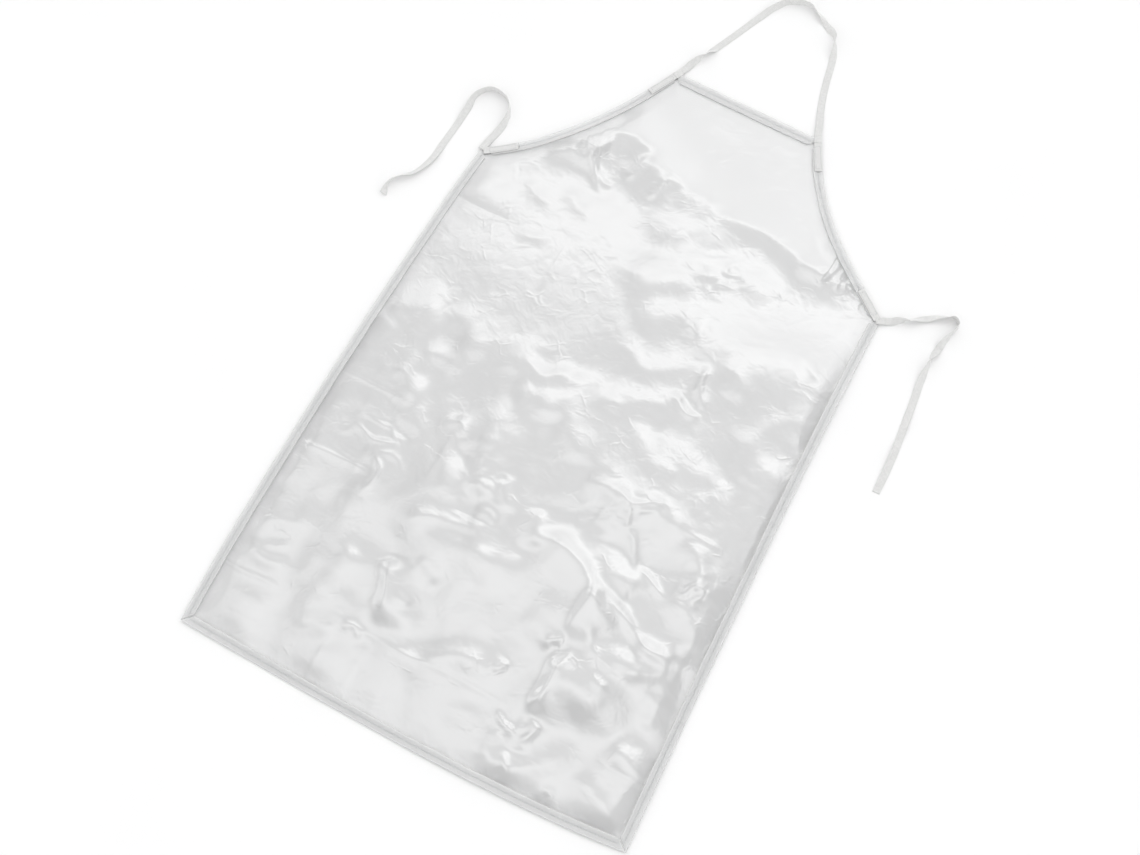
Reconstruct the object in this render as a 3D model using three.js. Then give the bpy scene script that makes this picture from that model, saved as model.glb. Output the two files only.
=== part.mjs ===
// A bib apron of clear film, lying flat with its face up: one hemmed film panel, a neck loop
// and two waist ties of narrow woven tape. Millimetres. +Y runs from the bottom edge to the
// bib, +X to the right as seen from above, and +Z up from the surface that it lies on.
import * as THREE from "three";

// ---- Driving dimensions -------------------------------------------------------------------

const GAP = 0.3; // air between touching pieces
const FILM_THICKNESS = 0.3;
const HEM_THICKNESS = 0.6; // the margin turned over twice
const HEM_WIDTH = 15;
const BIB_HEM_WIDTH = 18;
const STITCH_WIDTH = 1.2;
const STITCH_THICKNESS = 0.3;
const STITCH_END_CLEARANCE = 10; // a row stops short of the corner
const TAPE_WIDTH = 12;
const TAPE_THICKNESS = 0.8;
const SEWN_LENGTH = 58; // tape sewn down along an armhole hem
const BOX_STITCH_MARGIN = 1.6; // from the tape's edge to the row of stitches
const BOX_STITCH_END = 5; // from the tape's cut end, and from the corner
const TAPE_STATION = 8; // spacing of the outline's points along a sewn end
const NECK_OVERHANG = 3; // sewn tape that stands past the bib's corner
const TIE_SETBACK = 6; // where a tie starts to turn away from the hem
const REST_CLEARANCE = 0.15; // a free tape's lowest edge above the surface

// Corners of the laid panel, measured from the middle of the bottom edge.
const CORNER = {
  bottomLeft: [-350, 0],
  bottomRight: [350, 0],
  waistRight: [343, 893],
  bibRight: [132, 1150],
  bibLeft: [-137, 1165],
  waistLeft: [-349, 888],
};

// The part's origin, below the middle of the hemmed panel and its sewn tape ends.
const DATUM = { x: -5.8, y: 579.1 };

// Levels of the layers, from the surface up.
const LEVEL = {};
LEVEL.film = 0;
LEVEL.hem = LEVEL.film + FILM_THICKNESS + GAP;
LEVEL.hemStitch = LEVEL.hem + HEM_THICKNESS + GAP;
LEVEL.tape = LEVEL.hemStitch + STITCH_THICKNESS + GAP;
LEVEL.tapeStitch = LEVEL.tape + TAPE_THICKNESS + GAP;

// ---- Materials ----------------------------------------------------------------------------

const clearFilm = () => new THREE.MeshStandardMaterial({
  color: 0xe4e6e7, roughness: 0.22, metalness: 0, transparent: true, opacity: 0.55,
});
const doubledFilm = () => new THREE.MeshStandardMaterial({
  color: 0xd2d4d6, roughness: 0.26, metalness: 0, transparent: true, opacity: 0.75,
});
const wovenTape = () => new THREE.MeshStandardMaterial({
  color: 0xe6e6e4, roughness: 0.85, metalness: 0,
});
const sewingThread = () => new THREE.MeshStandardMaterial({
  color: 0xc4c6c8, roughness: 0.7, metalness: 0,
});

// ---- The panel's edges --------------------------------------------------------------------

const point = ([x, y]) => new THREE.Vector2(x, y);

// Anticlockwise from the bottom, so the film lies to the left of each edge. The film lies a
// little slack: its left side and bottom edge bulge outwards, and its right side pulls in.
const EDGES = [
  {
    name: "bottom", hemWidth: HEM_WIDTH, pieces: 12,
    curve: new THREE.QuadraticBezierCurve(
      point(CORNER.bottomLeft), point([160, -24]), point(CORNER.bottomRight)),
  },
  {
    name: "right_side", hemWidth: HEM_WIDTH, pieces: 10,
    curve: new THREE.QuadraticBezierCurve(
      point(CORNER.bottomRight), point([336, 560]), point(CORNER.waistRight)),
  },
  {
    name: "right_armhole", hemWidth: HEM_WIDTH, pieces: 16,
    curve: new THREE.CubicBezierCurve(
      point(CORNER.waistRight), point([262, 965]), point([188, 1012]), point(CORNER.bibRight)),
  },
  {
    name: "bib", hemWidth: BIB_HEM_WIDTH, pieces: 1,
    curve: new THREE.LineCurve(point(CORNER.bibRight), point(CORNER.bibLeft)),
  },
  {
    name: "left_armhole", hemWidth: HEM_WIDTH, pieces: 16,
    curve: new THREE.CubicBezierCurve(
      point(CORNER.bibLeft), point([-205, 1015]), point([-262, 945]), point(CORNER.waistLeft)),
  },
  {
    name: "left_side", hemWidth: HEM_WIDTH, pieces: 12,
    curve: new THREE.CubicBezierCurve(
      point(CORNER.waistLeft), point([-364, 780]), point([-367, 150]), point(CORNER.bottomLeft)),
  },
];
const edgeNamed = (name) => EDGES.find((edge) => edge.name === name);

const inward = (tangent) => new THREE.Vector2(-tangent.y, tangent.x);

// A point at a distance along an edge, moved into the film by inset. A negative distance runs
// straight on past the edge's start.
function onEdge(edge, distance, inset) {
  const length = edge.curve.getLength();
  const share = THREE.MathUtils.clamp(distance / length, 0, 1);
  const tangent = edge.curve.getTangentAt(share);
  const beyond = distance - share * length;
  return edge.curve.getPointAt(share).addScaledVector(tangent, beyond)
    .addScaledVector(inward(tangent), inset);
}

// Where the insets of two neighbouring edges meet: the mitre point of their corner.
function mitre(before, after, insetBefore, insetAfter) {
  const a = before.curve.getTangentAt(1);
  const b = after.curve.getTangentAt(0);
  const sine = a.cross(b);
  return after.curve.getPointAt(0)
    .addScaledVector(a, -insetAfter / sine)
    .addScaledVector(b, insetBefore / sine);
}

// One long side of a hem or of a stitch row, from mitre to mitre, pulled back at both ends. It
// lies at a share of each hem's width, moved further in by offset.
function hemLine(index, share, offset, pullBack) {
  const edge = EDGES[index];
  const before = EDGES[(index + EDGES.length - 1) % EDGES.length];
  const after = EDGES[(index + 1) % EDGES.length];
  const inset = ({ hemWidth }) => hemWidth * share + offset;
  const start = mitre(before, edge, inset(before), inset(edge))
    .addScaledVector(edge.curve.getTangentAt(0), pullBack);
  const end = mitre(edge, after, inset(edge), inset(after))
    .addScaledVector(edge.curve.getTangentAt(1), -pullBack);
  const length = edge.curve.getLength();
  const between = [];
  for (let i = 1; i < edge.pieces; i += 1) {
    between.push(onEdge(edge, (length * i) / edge.pieces, inset(edge)));
  }
  return [start, ...between, end];
}

// ---- Solids -------------------------------------------------------------------------------

// A flat outline, with any holes, raised from bottom by thickness.
function slab(outline, bottom, thickness, holes = []) {
  const clockwise = THREE.ShapeUtils.isClockWise(outline);
  const shape = new THREE.Shape(clockwise ? [...outline].reverse() : outline);
  shape.holes = holes.map((hole) => new THREE.Path(hole));
  const geometry = new THREE.ExtrudeGeometry(shape, { depth: thickness, bevelEnabled: false });
  geometry.translate(0, 0, bottom);
  return geometry;
}

function panelOutline() {
  return EDGES.flatMap((edge) => edge.curve.getSpacedPoints(edge.pieces).slice(0, -1));
}

// The turned-over margin of one edge, mitred at the corners.
function hem(index) {
  const outer = hemLine(index, 0, 0, GAP);
  const inner = hemLine(index, 1, 0, GAP);
  return slab([...outer, ...inner.reverse()], LEVEL.hem, HEM_THICKNESS);
}

// The row of stitches that holds one hem down, along its middle.
function hemStitching(index) {
  const outer = hemLine(index, 0.5, -STITCH_WIDTH / 2, STITCH_END_CLEARANCE);
  const inner = hemLine(index, 0.5, STITCH_WIDTH / 2, STITCH_END_CLEARANCE);
  return slab([...outer, ...inner.reverse()], LEVEL.hemStitch, STITCH_THICKNESS);
}

// ---- Woven tapes --------------------------------------------------------------------------

// A tape's middle line. Each row is [x, y, lift, roll]: lift is how far the tape is held up from
// where it would lie, and roll turns its face about its run, in degrees: 0 lies flat and 90
// stands on edge.
class TapePath extends THREE.Curve {
  constructor(rows) {
    super();
    const places = rows.map(([x, y, lift]) => new THREE.Vector3(x, y, lift + REST_CLEARANCE));
    this.plan = new THREE.CatmullRomCurve3(places, false, "centripetal");
    this.rolls = rows.map((row) => THREE.MathUtils.degToRad(row[3]));
  }

  rollAt(t) {
    const along = t * (this.rolls.length - 1);
    const row = Math.min(Math.floor(along), this.rolls.length - 2);
    const blend = THREE.MathUtils.smoothstep(along - row, 0, 1);
    return THREE.MathUtils.lerp(this.rolls[row], this.rolls[row + 1], blend);
  }

  getPoint(t, target = new THREE.Vector3()) {
    const roll = this.rollAt(t);
    target.copy(this.plan.getPoint(t));
    const standing = TAPE_WIDTH * Math.abs(Math.sin(roll));
    target.z += (standing + TAPE_THICKNESS * Math.abs(Math.cos(roll))) / 2;
    return target;
  }

  // The section's width follows the normals, and its thickness the binormals.
  computeFrenetFrames(segments) {
    const frames = { tangents: [], normals: [], binormals: [] };
    for (let i = 0; i <= segments; i += 1) {
      const t = this.getUtoTmapping(i / segments);
      const tangent = this.getTangent(t);
      const side = new THREE.Vector3(-tangent.y, tangent.x, 0).normalize();
      const width = side.applyAxisAngle(tangent, this.rollAt(t));
      frames.tangents.push(tangent);
      frames.normals.push(width);
      frames.binormals.push(tangent.clone().cross(width));
    }
    return frames;
  }

  // The two ends of the tape's width at its start, moved back by GAP, as plan points.
  startEdge() {
    const start = this.getPoint(0);
    const tangent = this.getTangent(0);
    const along = new THREE.Vector2(tangent.x, tangent.y).normalize();
    const middle = new THREE.Vector2(start.x, start.y).addScaledVector(along, -GAP);
    const aside = inward(along).multiplyScalar(TAPE_WIDTH / 2);
    return [1, -1].map((sign) => middle.clone().addScaledVector(aside, sign));
  }
}

const SEWN_LIFT = LEVEL.tape - REST_CLEARANCE; // a tape leaves its sewn end at that end's level

// Up from the bib's left corner, round, and back down to its right corner.
const NECK_ROUTE = [
  [-128.5, 1168.5, SEWN_LIFT, 0], [-124, 1181, 1.6, 0], [-116, 1199, 0.4, 40],
  [-107, 1218, 0, 120], [-97, 1241, 0, 180], [-78, 1286, 0, 180], [-59, 1331, 0, 188],
  [-45, 1359, 0, 222], [-24, 1382, 0, 250], [4, 1389, 0, 262], [30, 1379, 0, 318],
  [50, 1364, 0, 372], [68, 1350, 0, 425], [78, 1328, 0, 495], [85, 1301, 0, 540],
  [93, 1258, 0, 540], [103, 1217, 0, 540], [115, 1181, 1.4, 540], [123, 1155.5, SEWN_LIFT, 540],
];

// Folded back up at the left waist corner, over a loop and down beside the panel.
const LEFT_TIE_ROUTE = [
  [-348, 898, SEWN_LIFT, 0], [-345.5, 912, 1.2, 0], [-341, 936, 0, 12], [-340, 957, 0, 60],
  [-346, 977, 0, 84], [-363, 992, 0, 90], [-390, 994, 0, 90], [-406, 974, 0, 110],
  [-407, 944, 0, 158], [-408, 905, 0, 180], [-410, 866, 0, 180], [-412, 832, 0, 200],
  [-424, 797, 0, 212], [-442, 779, 0, 238], [-450, 762, 0, 262], [-448, 740, 0, 328],
];

// Out from the right waist corner, folded at its far turn, and down beside the panel.
const RIGHT_TIE_ROUTE = [
  [347.5, 892.5, SEWN_LIFT, 0], [357, 896.5, 1.4, 8], [369, 903, 0.4, 60], [383, 912, 0, 130],
  [405, 927, 0, 168], [428, 941, 0, 128], [443, 946, 0, 96], [452, 938, 0, 90],
  [449, 921, 0, 92], [443, 903, 0, 130], [438, 878, 0, 200], [436, 852, 0, 300],
  [436, 826, 0, 350], [439, 790, 0, 360], [442, 745, 0, 372], [446, 693, 0, 348],
  [446, 627, 0, 360],
];

// Across the tape: a plain rectangle, cut in four along the width so that it twists evenly.
function tapeSection() {
  const fractions = [-0.5, -0.25, 0, 0.25, 0.5];
  const row = (side) => fractions.map(
    (share) => new THREE.Vector2(share * TAPE_WIDTH, side * TAPE_THICKNESS / 2));
  return new THREE.Shape([...row(-1), ...row(1).reverse()]);
}

function freeTape(path, steps) {
  return new THREE.ExtrudeGeometry(tapeSection(), { steps, extrudePath: path });
}

// One long side of a sewn end, from its cut end to a distance from the corner.
function sewnLine(edge, fromEnd, inset, closest) {
  const length = edge.curve.getLength();
  const line = [];
  const station = (distance) => onEdge(edge, fromEnd ? length - distance : distance, inset);
  for (let distance = SEWN_LENGTH; distance > closest + 1; distance -= TAPE_STATION) {
    line.push(station(distance));
  }
  return [...line, station(closest)];
}

// The tape's outline where it is sewn along a hem, as far as the free tape's first edge. A
// folded end also turns over a crease.
function sewnOutline({ edge, fromEnd, reach, path, crease = [] }) {
  const [left, right] = path.startEdge();
  const outer = sewnLine(edgeNamed(edge), fromEnd, 0, reach.outer);
  const inner = sewnLine(edgeNamed(edge), fromEnd, TAPE_WIDTH, reach.inner);
  const exit = fromEnd ? [right, left] : [left, right];
  return [...outer, ...exit, ...crease.map(point), ...inner.reverse()];
}

// A closed ring of stitches on a sewn end, just inside the tape's edges.
function boxStitch(edge, fromEnd) {
  const length = edge.curve.getLength();
  const place = (distance, inset) => onEdge(edge, fromEnd ? length - distance : distance, inset);
  const ring = (margin) => {
    const near = BOX_STITCH_END + TIE_SETBACK + margin;
    const far = SEWN_LENGTH - BOX_STITCH_END - margin;
    const inset = BOX_STITCH_MARGIN + margin;
    const stations = [0, 0.25, 0.5, 0.75, 1].map((share) => THREE.MathUtils.lerp(near, far, share));
    const outer = stations.map((s) => place(s, inset));
    const inner = stations.map((s) => place(s, TAPE_WIDTH - inset)).reverse();
    return [...outer, ...inner];
  };
  return slab(ring(0), LEVEL.tapeStitch, STITCH_THICKNESS, [ring(STITCH_WIDTH)]);
}

// ---- Assembly -----------------------------------------------------------------------------

const apron = new THREE.Group();
apron.position.set(-DATUM.x, -DATUM.y, 0);

function add(name, geometry, material) {
  const mesh = new THREE.Mesh(geometry, material);
  mesh.name = name;
  apron.add(mesh);
}

add("film_panel", slab(panelOutline(), LEVEL.film, FILM_THICKNESS), clearFilm());
EDGES.forEach((edge, index) => {
  add(`hem_${edge.name}`, hem(index), doubledFilm());
  add(`hem_stitching_${edge.name}`, hemStitching(index), sewingThread());
});

const neckPath = new TapePath(NECK_ROUTE);
const neckPathBack = new TapePath([...NECK_ROUTE].reverse());
const leftTiePath = new TapePath(LEFT_TIE_ROUTE);
const rightTiePath = new TapePath(RIGHT_TIE_ROUTE);

// Each sewn end: the edge it lies along, whether it is at that edge's far end, how close each
// of its long sides comes to the corner, and the free tape that leaves it.
const AT_BIB = { outer: -NECK_OVERHANG, inner: -NECK_OVERHANG };
const SEWN_ENDS = [
  { name: "neck_left", edge: "left_armhole", fromEnd: false, reach: AT_BIB, path: neckPath },
  { name: "neck_right", edge: "right_armhole", fromEnd: true, reach: AT_BIB, path: neckPathBack },
  {
    name: "tie_left", edge: "left_armhole", fromEnd: true, reach: { outer: 8, inner: 2 },
    path: leftTiePath, crease: [[-354, 888]],
  },
  {
    name: "tie_right", edge: "right_armhole", fromEnd: false,
    reach: { outer: TIE_SETBACK, inner: TIE_SETBACK }, path: rightTiePath,
  },
];
for (const end of SEWN_ENDS) {
  add(`tape_end_${end.name}`, slab(sewnOutline(end), LEVEL.tape, TAPE_THICKNESS), wovenTape());
  add(`tape_stitching_${end.name}`, boxStitch(edgeNamed(end.edge), end.fromEnd), sewingThread());
}

const NECK_STEPS = 80;
const TIE_STEPS = 60;
add("neck_loop", freeTape(neckPath, NECK_STEPS), wovenTape());
add("waist_tie_left", freeTape(leftTiePath, TIE_STEPS), wovenTape());
add("waist_tie_right", freeTape(rightTiePath, TIE_STEPS), wovenTape());

export default apron;
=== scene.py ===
"""A bib apron of clear film, laid flat with its face up.

One film panel with its margins turned over and stitched, and a neck loop and two waist ties of
narrow woven tape. Sizes in this file are millimetres, counted from the middle of the bottom
edge, with +Y towards the bib; the finished meshes are metres in the part's own frame.
"""
import logging
import math
from dataclasses import dataclass, field
from enum import Enum
from typing import Any, Sequence

import bpy
import numpy as np
from mathutils import Matrix, Vector


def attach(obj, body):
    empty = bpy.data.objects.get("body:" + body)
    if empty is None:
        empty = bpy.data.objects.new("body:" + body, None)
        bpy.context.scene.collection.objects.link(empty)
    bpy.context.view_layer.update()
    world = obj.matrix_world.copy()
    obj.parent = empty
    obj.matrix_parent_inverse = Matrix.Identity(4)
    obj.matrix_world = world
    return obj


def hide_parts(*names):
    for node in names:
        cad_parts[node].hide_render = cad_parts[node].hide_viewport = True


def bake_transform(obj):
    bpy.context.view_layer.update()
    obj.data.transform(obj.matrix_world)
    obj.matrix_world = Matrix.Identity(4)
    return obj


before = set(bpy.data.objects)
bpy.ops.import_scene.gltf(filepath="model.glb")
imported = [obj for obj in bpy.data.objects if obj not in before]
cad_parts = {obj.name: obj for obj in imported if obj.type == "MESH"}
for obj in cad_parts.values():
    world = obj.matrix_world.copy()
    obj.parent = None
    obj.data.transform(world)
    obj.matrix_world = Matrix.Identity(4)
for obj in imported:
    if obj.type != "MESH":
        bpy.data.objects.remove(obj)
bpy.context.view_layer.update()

LOG = logging.getLogger("clear_film_apron")

Array = np.ndarray
PlanPoint = tuple[float, float]

MM = 0.001
DATUM = np.array([-5.8, 579.1])  # the part's origin, from the middle of the bottom edge

FILM_THICKNESS = 0.3
HEM_WIDTH = 15.0
BIB_HEM_WIDTH = 18.0
TAPE_WIDTH = 12.0
TAPE_THICKNESS = 0.8
SEWN_LENGTH = 58.0
SEWN_LIFT = 1.95  # a tape leaves its sewn end at that end's level
REST_CLEARANCE = 0.15  # a free tape's lowest edge above the surface

ROOT_BODY = "apron"

RAMP_TOP = 6.0  # the light level that stands at 1 on a colour ramp


# ---- Small helpers ------------------------------------------------------------------------


def in_frame(places: Array) -> Array:
    """Turn rows of x, y, z from the apron's millimetres to metres in the part's frame.

    Args:
        places: Rows of x, y, z in millimetres from the middle of the bottom edge.

    Returns:
        The same rows in metres.
    """
    places = np.asarray(places, float)
    moved = places.copy()
    moved[..., 0] -= DATUM[0]
    moved[..., 1] -= DATUM[1]
    return moved * MM


def linear(colour: str) -> tuple[float, float, float, float]:
    """Turn an sRGB hex colour such as "e4e6e7" to the linear one that Blender mixes.

    Args:
        colour: Six hex digits.

    Returns:
        Red, green, blue and an alpha of 1.
    """
    parts = [int(colour[i:i + 2], 16) / 255 for i in (0, 2, 4)]
    curve = [c / 12.92 if c <= 0.04045 else ((c + 0.055) / 1.055) ** 2.4 for c in parts]
    return (*curve, 1.0)


def blank_material(name: str) -> tuple[bpy.types.Material, bpy.types.NodeTree]:
    """Make a material whose node tree is empty.

    Args:
        name: The material's name.

    Returns:
        The material and its tree.
    """
    material = bpy.data.materials.new(name)
    material.use_nodes = True
    material.node_tree.nodes.clear()
    return material, material.node_tree


def add_node(
    tree: bpy.types.NodeTree, kind: str, inputs: dict[Any, Any] | None = None, **settings: Any
) -> bpy.types.Node:
    """Add a node, set it up and link it.

    Args:
        tree: The material's or world's node tree.
        kind: The node's type, such as "ShaderNodeBump".
        inputs: Each input's name or number, with its value or the socket that feeds it.
        **settings: The node's own properties.

    Returns:
        The new node.
    """
    node = tree.nodes.new(kind)
    for name, value in settings.items():
        setattr(node, name, value)
    for key, value in (inputs or {}).items():
        if isinstance(value, bpy.types.NodeSocket):
            tree.links.new(value, node.inputs[key])
        else:
            node.inputs[key].default_value = value
    return node


def smooth_step(values: Array) -> Array:
    """The smooth rise from 0 to 1 of values clamped to that range."""
    share = np.clip(values, 0.0, 1.0)
    return share * share * (3 - 2 * share)


def mesh_piece(
    name: str,
    vertices: Array,
    faces: Sequence[Sequence[int]],
    material: bpy.types.Material,
    surface: Array | None = None,
) -> bpy.types.Object:
    """Make a smooth-shaded mesh object.

    Args:
        name: The piece's name.
        vertices: Rows of x, y, z in metres.
        faces: Each face's vertex numbers, anticlockwise from outside.
        material: Its finish.
        surface: For each vertex, its place along and across the piece in metres, if its
            finish runs along it.

    Returns:
        The object, linked to the scene.
    """
    mesh = bpy.data.meshes.new(name)
    mesh.from_pydata(np.asarray(vertices).tolist(), [], [list(map(int, f)) for f in faces])
    mesh.validate()
    mesh.polygons.foreach_set("use_smooth", [True] * len(mesh.polygons))
    if surface is not None:
        layer = mesh.uv_layers.new(name="run")
        order = np.empty(len(mesh.loops), dtype=np.int32)
        mesh.loops.foreach_get("vertex_index", order)
        layer.data.foreach_set("uv", np.asarray(surface, np.float32)[order].ravel())
    mesh.materials.append(material)
    mesh.update()
    piece = bpy.data.objects.new(name, mesh)
    bpy.context.scene.collection.objects.link(piece)
    return piece


def grid_faces(rows: int, columns: int) -> Array:
    """The faces of a sheet of vertices, row after row, facing up where rows run away."""
    corner = (np.arange(rows - 1)[:, None] * columns + np.arange(columns - 1)[None, :]).ravel()
    return np.stack([corner, corner + 1, corner + columns + 1, corner + columns], axis=1)


def tube_faces(rings: int, around: int) -> list[list[int]]:
    """The faces of rings of vertices joined in order, with both ends closed.

    Args:
        rings: How many rings.
        around: How many vertices each has, anticlockwise as seen from the tube's far end.

    Returns:
        The faces.
    """
    faces = [
        [r * around + i, r * around + (i + 1) % around,
         (r + 1) * around + (i + 1) % around, (r + 1) * around + i]
        for r in range(rings - 1)
        for i in range(around)
    ]
    last = (rings - 1) * around
    faces.append(list(reversed(range(around))))
    faces.append(list(range(last, last + around)))
    return faces


def finish_piece(
    piece: bpy.types.Object, nodes: Sequence[str], body: str | None = ROOT_BODY
) -> bpy.types.Object:
    """Tie a piece to its body and to the CAD nodes it stands for.

    Args:
        piece: The finished object.
        nodes: The CAD nodes that it stands for.
        body: The body it rides on, or None to leave it unattached.

    Returns:
        The same object.
    """
    if body is not None:
        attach(piece, body)
    if nodes:
        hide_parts(*nodes)
    LOG.info("%s: %d vertices", piece.name, len(piece.data.vertices))
    return piece


# ---- Finishes -----------------------------------------------------------------------------


@dataclass(frozen=True)
class ClearFilm:
    """Calendered flexible PVC film: clear with a faint milky cast and a wet-looking gloss.

    Attributes:
        name: The material's name.
        body: The cast that the film gives to what lies under it.
        haze: The cast where it is a little cloudier.
        cover: How much of what is behind it the film hides when seen square on.
        edge_cover: The same when seen edge on.
        mirror_ior: The index that sets how bright its mirror is. Real PVC is 1.53, and its two
            faces mirror about 9%. This is matched to the object under this light instead: with
            cover it comes to about 15%, so the film looks glossier than life elsewhere.
        roughness: How blurred that mirror is.
        bump: How strong the slack ripples and the orange peel are.
        crinkle: How strong the fine straight creases are.
    """

    name: str = "clear_pvc_film"
    body: str = "9c9d9e"
    haze: str = "a6a7a8"
    cover: float = 0.33
    edge_cover: float = 0.66
    mirror_ior: float = 5.3
    roughness: float = 0.07
    bump: float = 0.36
    crinkle: float = 0.25

    def make(self) -> bpy.types.Material:
        """Make the material: a see-through film under a glossy, faintly rippled surface."""
        material, tree = blank_material(self.name)
        place = add_node(tree, "ShaderNodeTexCoord").outputs["Object"]
        # Plasticiser haze in patches about 110 mm across: it dulls the gloss here and there.
        haze = add_node(tree, "ShaderNodeTexNoise", {
            "Vector": place, "Scale": 1 / 0.110, "Detail": 3.0, "Roughness": 0.55})
        colour = add_node(tree, "ShaderNodeMix", {
            "Factor": haze.outputs["Fac"], 6: linear(self.body), 7: linear(self.haze)},
            data_type="RGBA")
        rough = add_node(tree, "ShaderNodeMapRange", {
            "Value": haze.outputs["Fac"], "From Min": 0.3, "From Max": 0.7,
            "To Min": self.roughness * 0.75, "To Max": self.roughness * 1.4})
        # Slack ripples of 26 mm, and the calender's orange peel drawn at 6 mm.
        slack = add_node(tree, "ShaderNodeTexNoise", {
            "Vector": place, "Scale": 1 / 0.026, "Detail": 2.0, "Distortion": 0.6})
        peel = add_node(tree, "ShaderNodeTexNoise", {
            "Vector": place, "Scale": 1 / 0.006, "Detail": 1.0})
        ripple = add_node(tree, "ShaderNodeBump", {
            "Height": slack.outputs["Fac"], "Strength": self.bump, "Distance": 0.0012})
        fine = add_node(tree, "ShaderNodeBump", {
            "Height": peel.outputs["Fac"], "Strength": self.bump * 0.2, "Distance": 0.0001,
            "Normal": ripple.outputs["Normal"]})
        # Fine straight creases 26 mm apart, broken off here and there, in the rumpled patches.
        bent = add_node(tree, "ShaderNodeVectorMath", {
            0: place, 1: add_node(tree, "ShaderNodeVectorMath", {
                0: slack.outputs["Color"], "Scale": 0.012}, operation="SCALE").outputs[0]},
            operation="ADD")
        crease = add_node(tree, "ShaderNodeTexVoronoi", {
            "Vector": bent.outputs[0], "Scale": 1 / 0.026}, feature="DISTANCE_TO_EDGE")
        line = add_node(tree, "ShaderNodeMapRange", {
            "Value": crease.outputs["Distance"], "From Max": 0.11, "To Min": 1.0, "To Max": 0.0},
            interpolation_type="SMOOTHSTEP")
        patch = add_node(tree, "ShaderNodeTexNoise", {
            "Vector": place, "Scale": 1 / 0.060, "Detail": 3.0, "Roughness": 0.7})
        rumpled = add_node(tree, "ShaderNodeMapRange", {
            "Value": patch.outputs["Fac"], "From Min": 0.53, "From Max": 0.66})
        creased = add_node(tree, "ShaderNodeMath", {
            0: line.outputs["Result"], 1: rumpled.outputs["Result"]}, operation="MULTIPLY")
        fine = add_node(tree, "ShaderNodeBump", {
            "Height": creased.outputs[0], "Strength": self.crinkle, "Distance": 0.0005,
            "Normal": fine.outputs["Normal"]})
        gloss = add_node(tree, "ShaderNodeBsdfPrincipled", {
            "Base Color": colour.outputs[2], "Roughness": rough.outputs["Result"],
            "IOR": self.mirror_ior, "Normal": fine.outputs["Normal"]})
        clear = add_node(tree, "ShaderNodeBsdfTransparent", {"Color": (1.0, 1.0, 1.0, 1.0)})
        facing = add_node(tree, "ShaderNodeLayerWeight", {"Blend": 0.35})
        cover = add_node(tree, "ShaderNodeMapRange", {
            "Value": facing.outputs["Facing"],
            "To Min": self.cover, "To Max": self.edge_cover})
        mixed = add_node(tree, "ShaderNodeMixShader", {
            0: cover.outputs["Result"], 1: clear.outputs[0], 2: gloss.outputs[0]})
        add_node(tree, "ShaderNodeOutputMaterial", {"Surface": mixed.outputs[0]})
        return material


@dataclass(frozen=True)
class WovenTape:
    """White woven polyester tape, 12 mm wide: matt and soft. Its herringbone is assumed.

    Attributes:
        name: The material's name.
        rib: The colour on top of the ribs.
        hollow_shade: Painted shade between them, darker than the rib tops.
        rib_spacing: From rib to rib along the tape, in metres. The real 0.9 mm is too fine to
            show, so it is drawn at 2.4 mm.
    """

    name: str = "woven_polyester_tape"
    rib: str = "f3f3f2"
    hollow_shade: str = "cfcfce"
    rib_spacing: float = 0.0024

    def make(self) -> bpy.types.Material:
        """Make the material: chevron ribs that turn at the tape's middle, with painted shade
        between them, and thread fuzz.
        """
        material, tree = blank_material(self.name)
        run = add_node(tree, "ShaderNodeUVMap", uv_map="run").outputs["UV"]
        split = add_node(tree, "ShaderNodeSeparateXYZ", {"Vector": run})
        across = add_node(tree, "ShaderNodeMath", {0: split.outputs["Y"]}, operation="ABSOLUTE")
        slant = add_node(tree, "ShaderNodeMath", {
            0: split.outputs["X"], 1: across.outputs[0]}, operation="ADD")
        turns = add_node(tree, "ShaderNodeMath", {
            0: slant.outputs[0], 1: 2 * math.pi / self.rib_spacing}, operation="MULTIPLY")
        wave = add_node(tree, "ShaderNodeMath", {0: turns.outputs[0]}, operation="SINE")
        rib = add_node(tree, "ShaderNodeMapRange", {
            "Value": wave.outputs[0], "From Min": -1.0, "From Max": 1.0})
        # Uneven thread, in patches of 4 mm, and fuzz drawn at 0.8 mm.
        place = add_node(tree, "ShaderNodeTexCoord").outputs["Object"]
        thread = add_node(tree, "ShaderNodeTexNoise", {
            "Vector": place, "Scale": 1 / 0.004, "Detail": 4.0, "Roughness": 0.65})
        fuzz = add_node(tree, "ShaderNodeTexNoise", {
            "Vector": place, "Scale": 1 / 0.0008, "Detail": 2.0})
        shade = add_node(tree, "ShaderNodeMath", {
            0: rib.outputs["Result"], 1: thread.outputs["Fac"]}, operation="MULTIPLY")
        lift = add_node(tree, "ShaderNodeMapRange", {
            "Value": shade.outputs[0], "From Min": 0.05, "From Max": 0.6})
        # The rib tops keep the tape's white; between the ribs the colour is painted shade.
        colour = add_node(tree, "ShaderNodeMix", {
            "Factor": lift.outputs["Result"], 6: linear(self.hollow_shade), 7: linear(self.rib)},
            data_type="RGBA")
        ribs = add_node(tree, "ShaderNodeBump", {
            "Height": rib.outputs["Result"], "Strength": 0.7, "Distance": 0.0004})
        nap = add_node(tree, "ShaderNodeBump", {
            "Height": fuzz.outputs["Fac"], "Strength": 0.5, "Distance": 0.0002,
            "Normal": ribs.outputs["Normal"]})
        cloth = add_node(tree, "ShaderNodeBsdfPrincipled", {
            "Base Color": colour.outputs[2], "Roughness": 0.88, "Sheen Weight": 0.25,
            "Sheen Roughness": 0.6, "Normal": nap.outputs["Normal"]})
        add_node(tree, "ShaderNodeOutputMaterial", {"Surface": cloth.outputs[0]})
        return material


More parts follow.
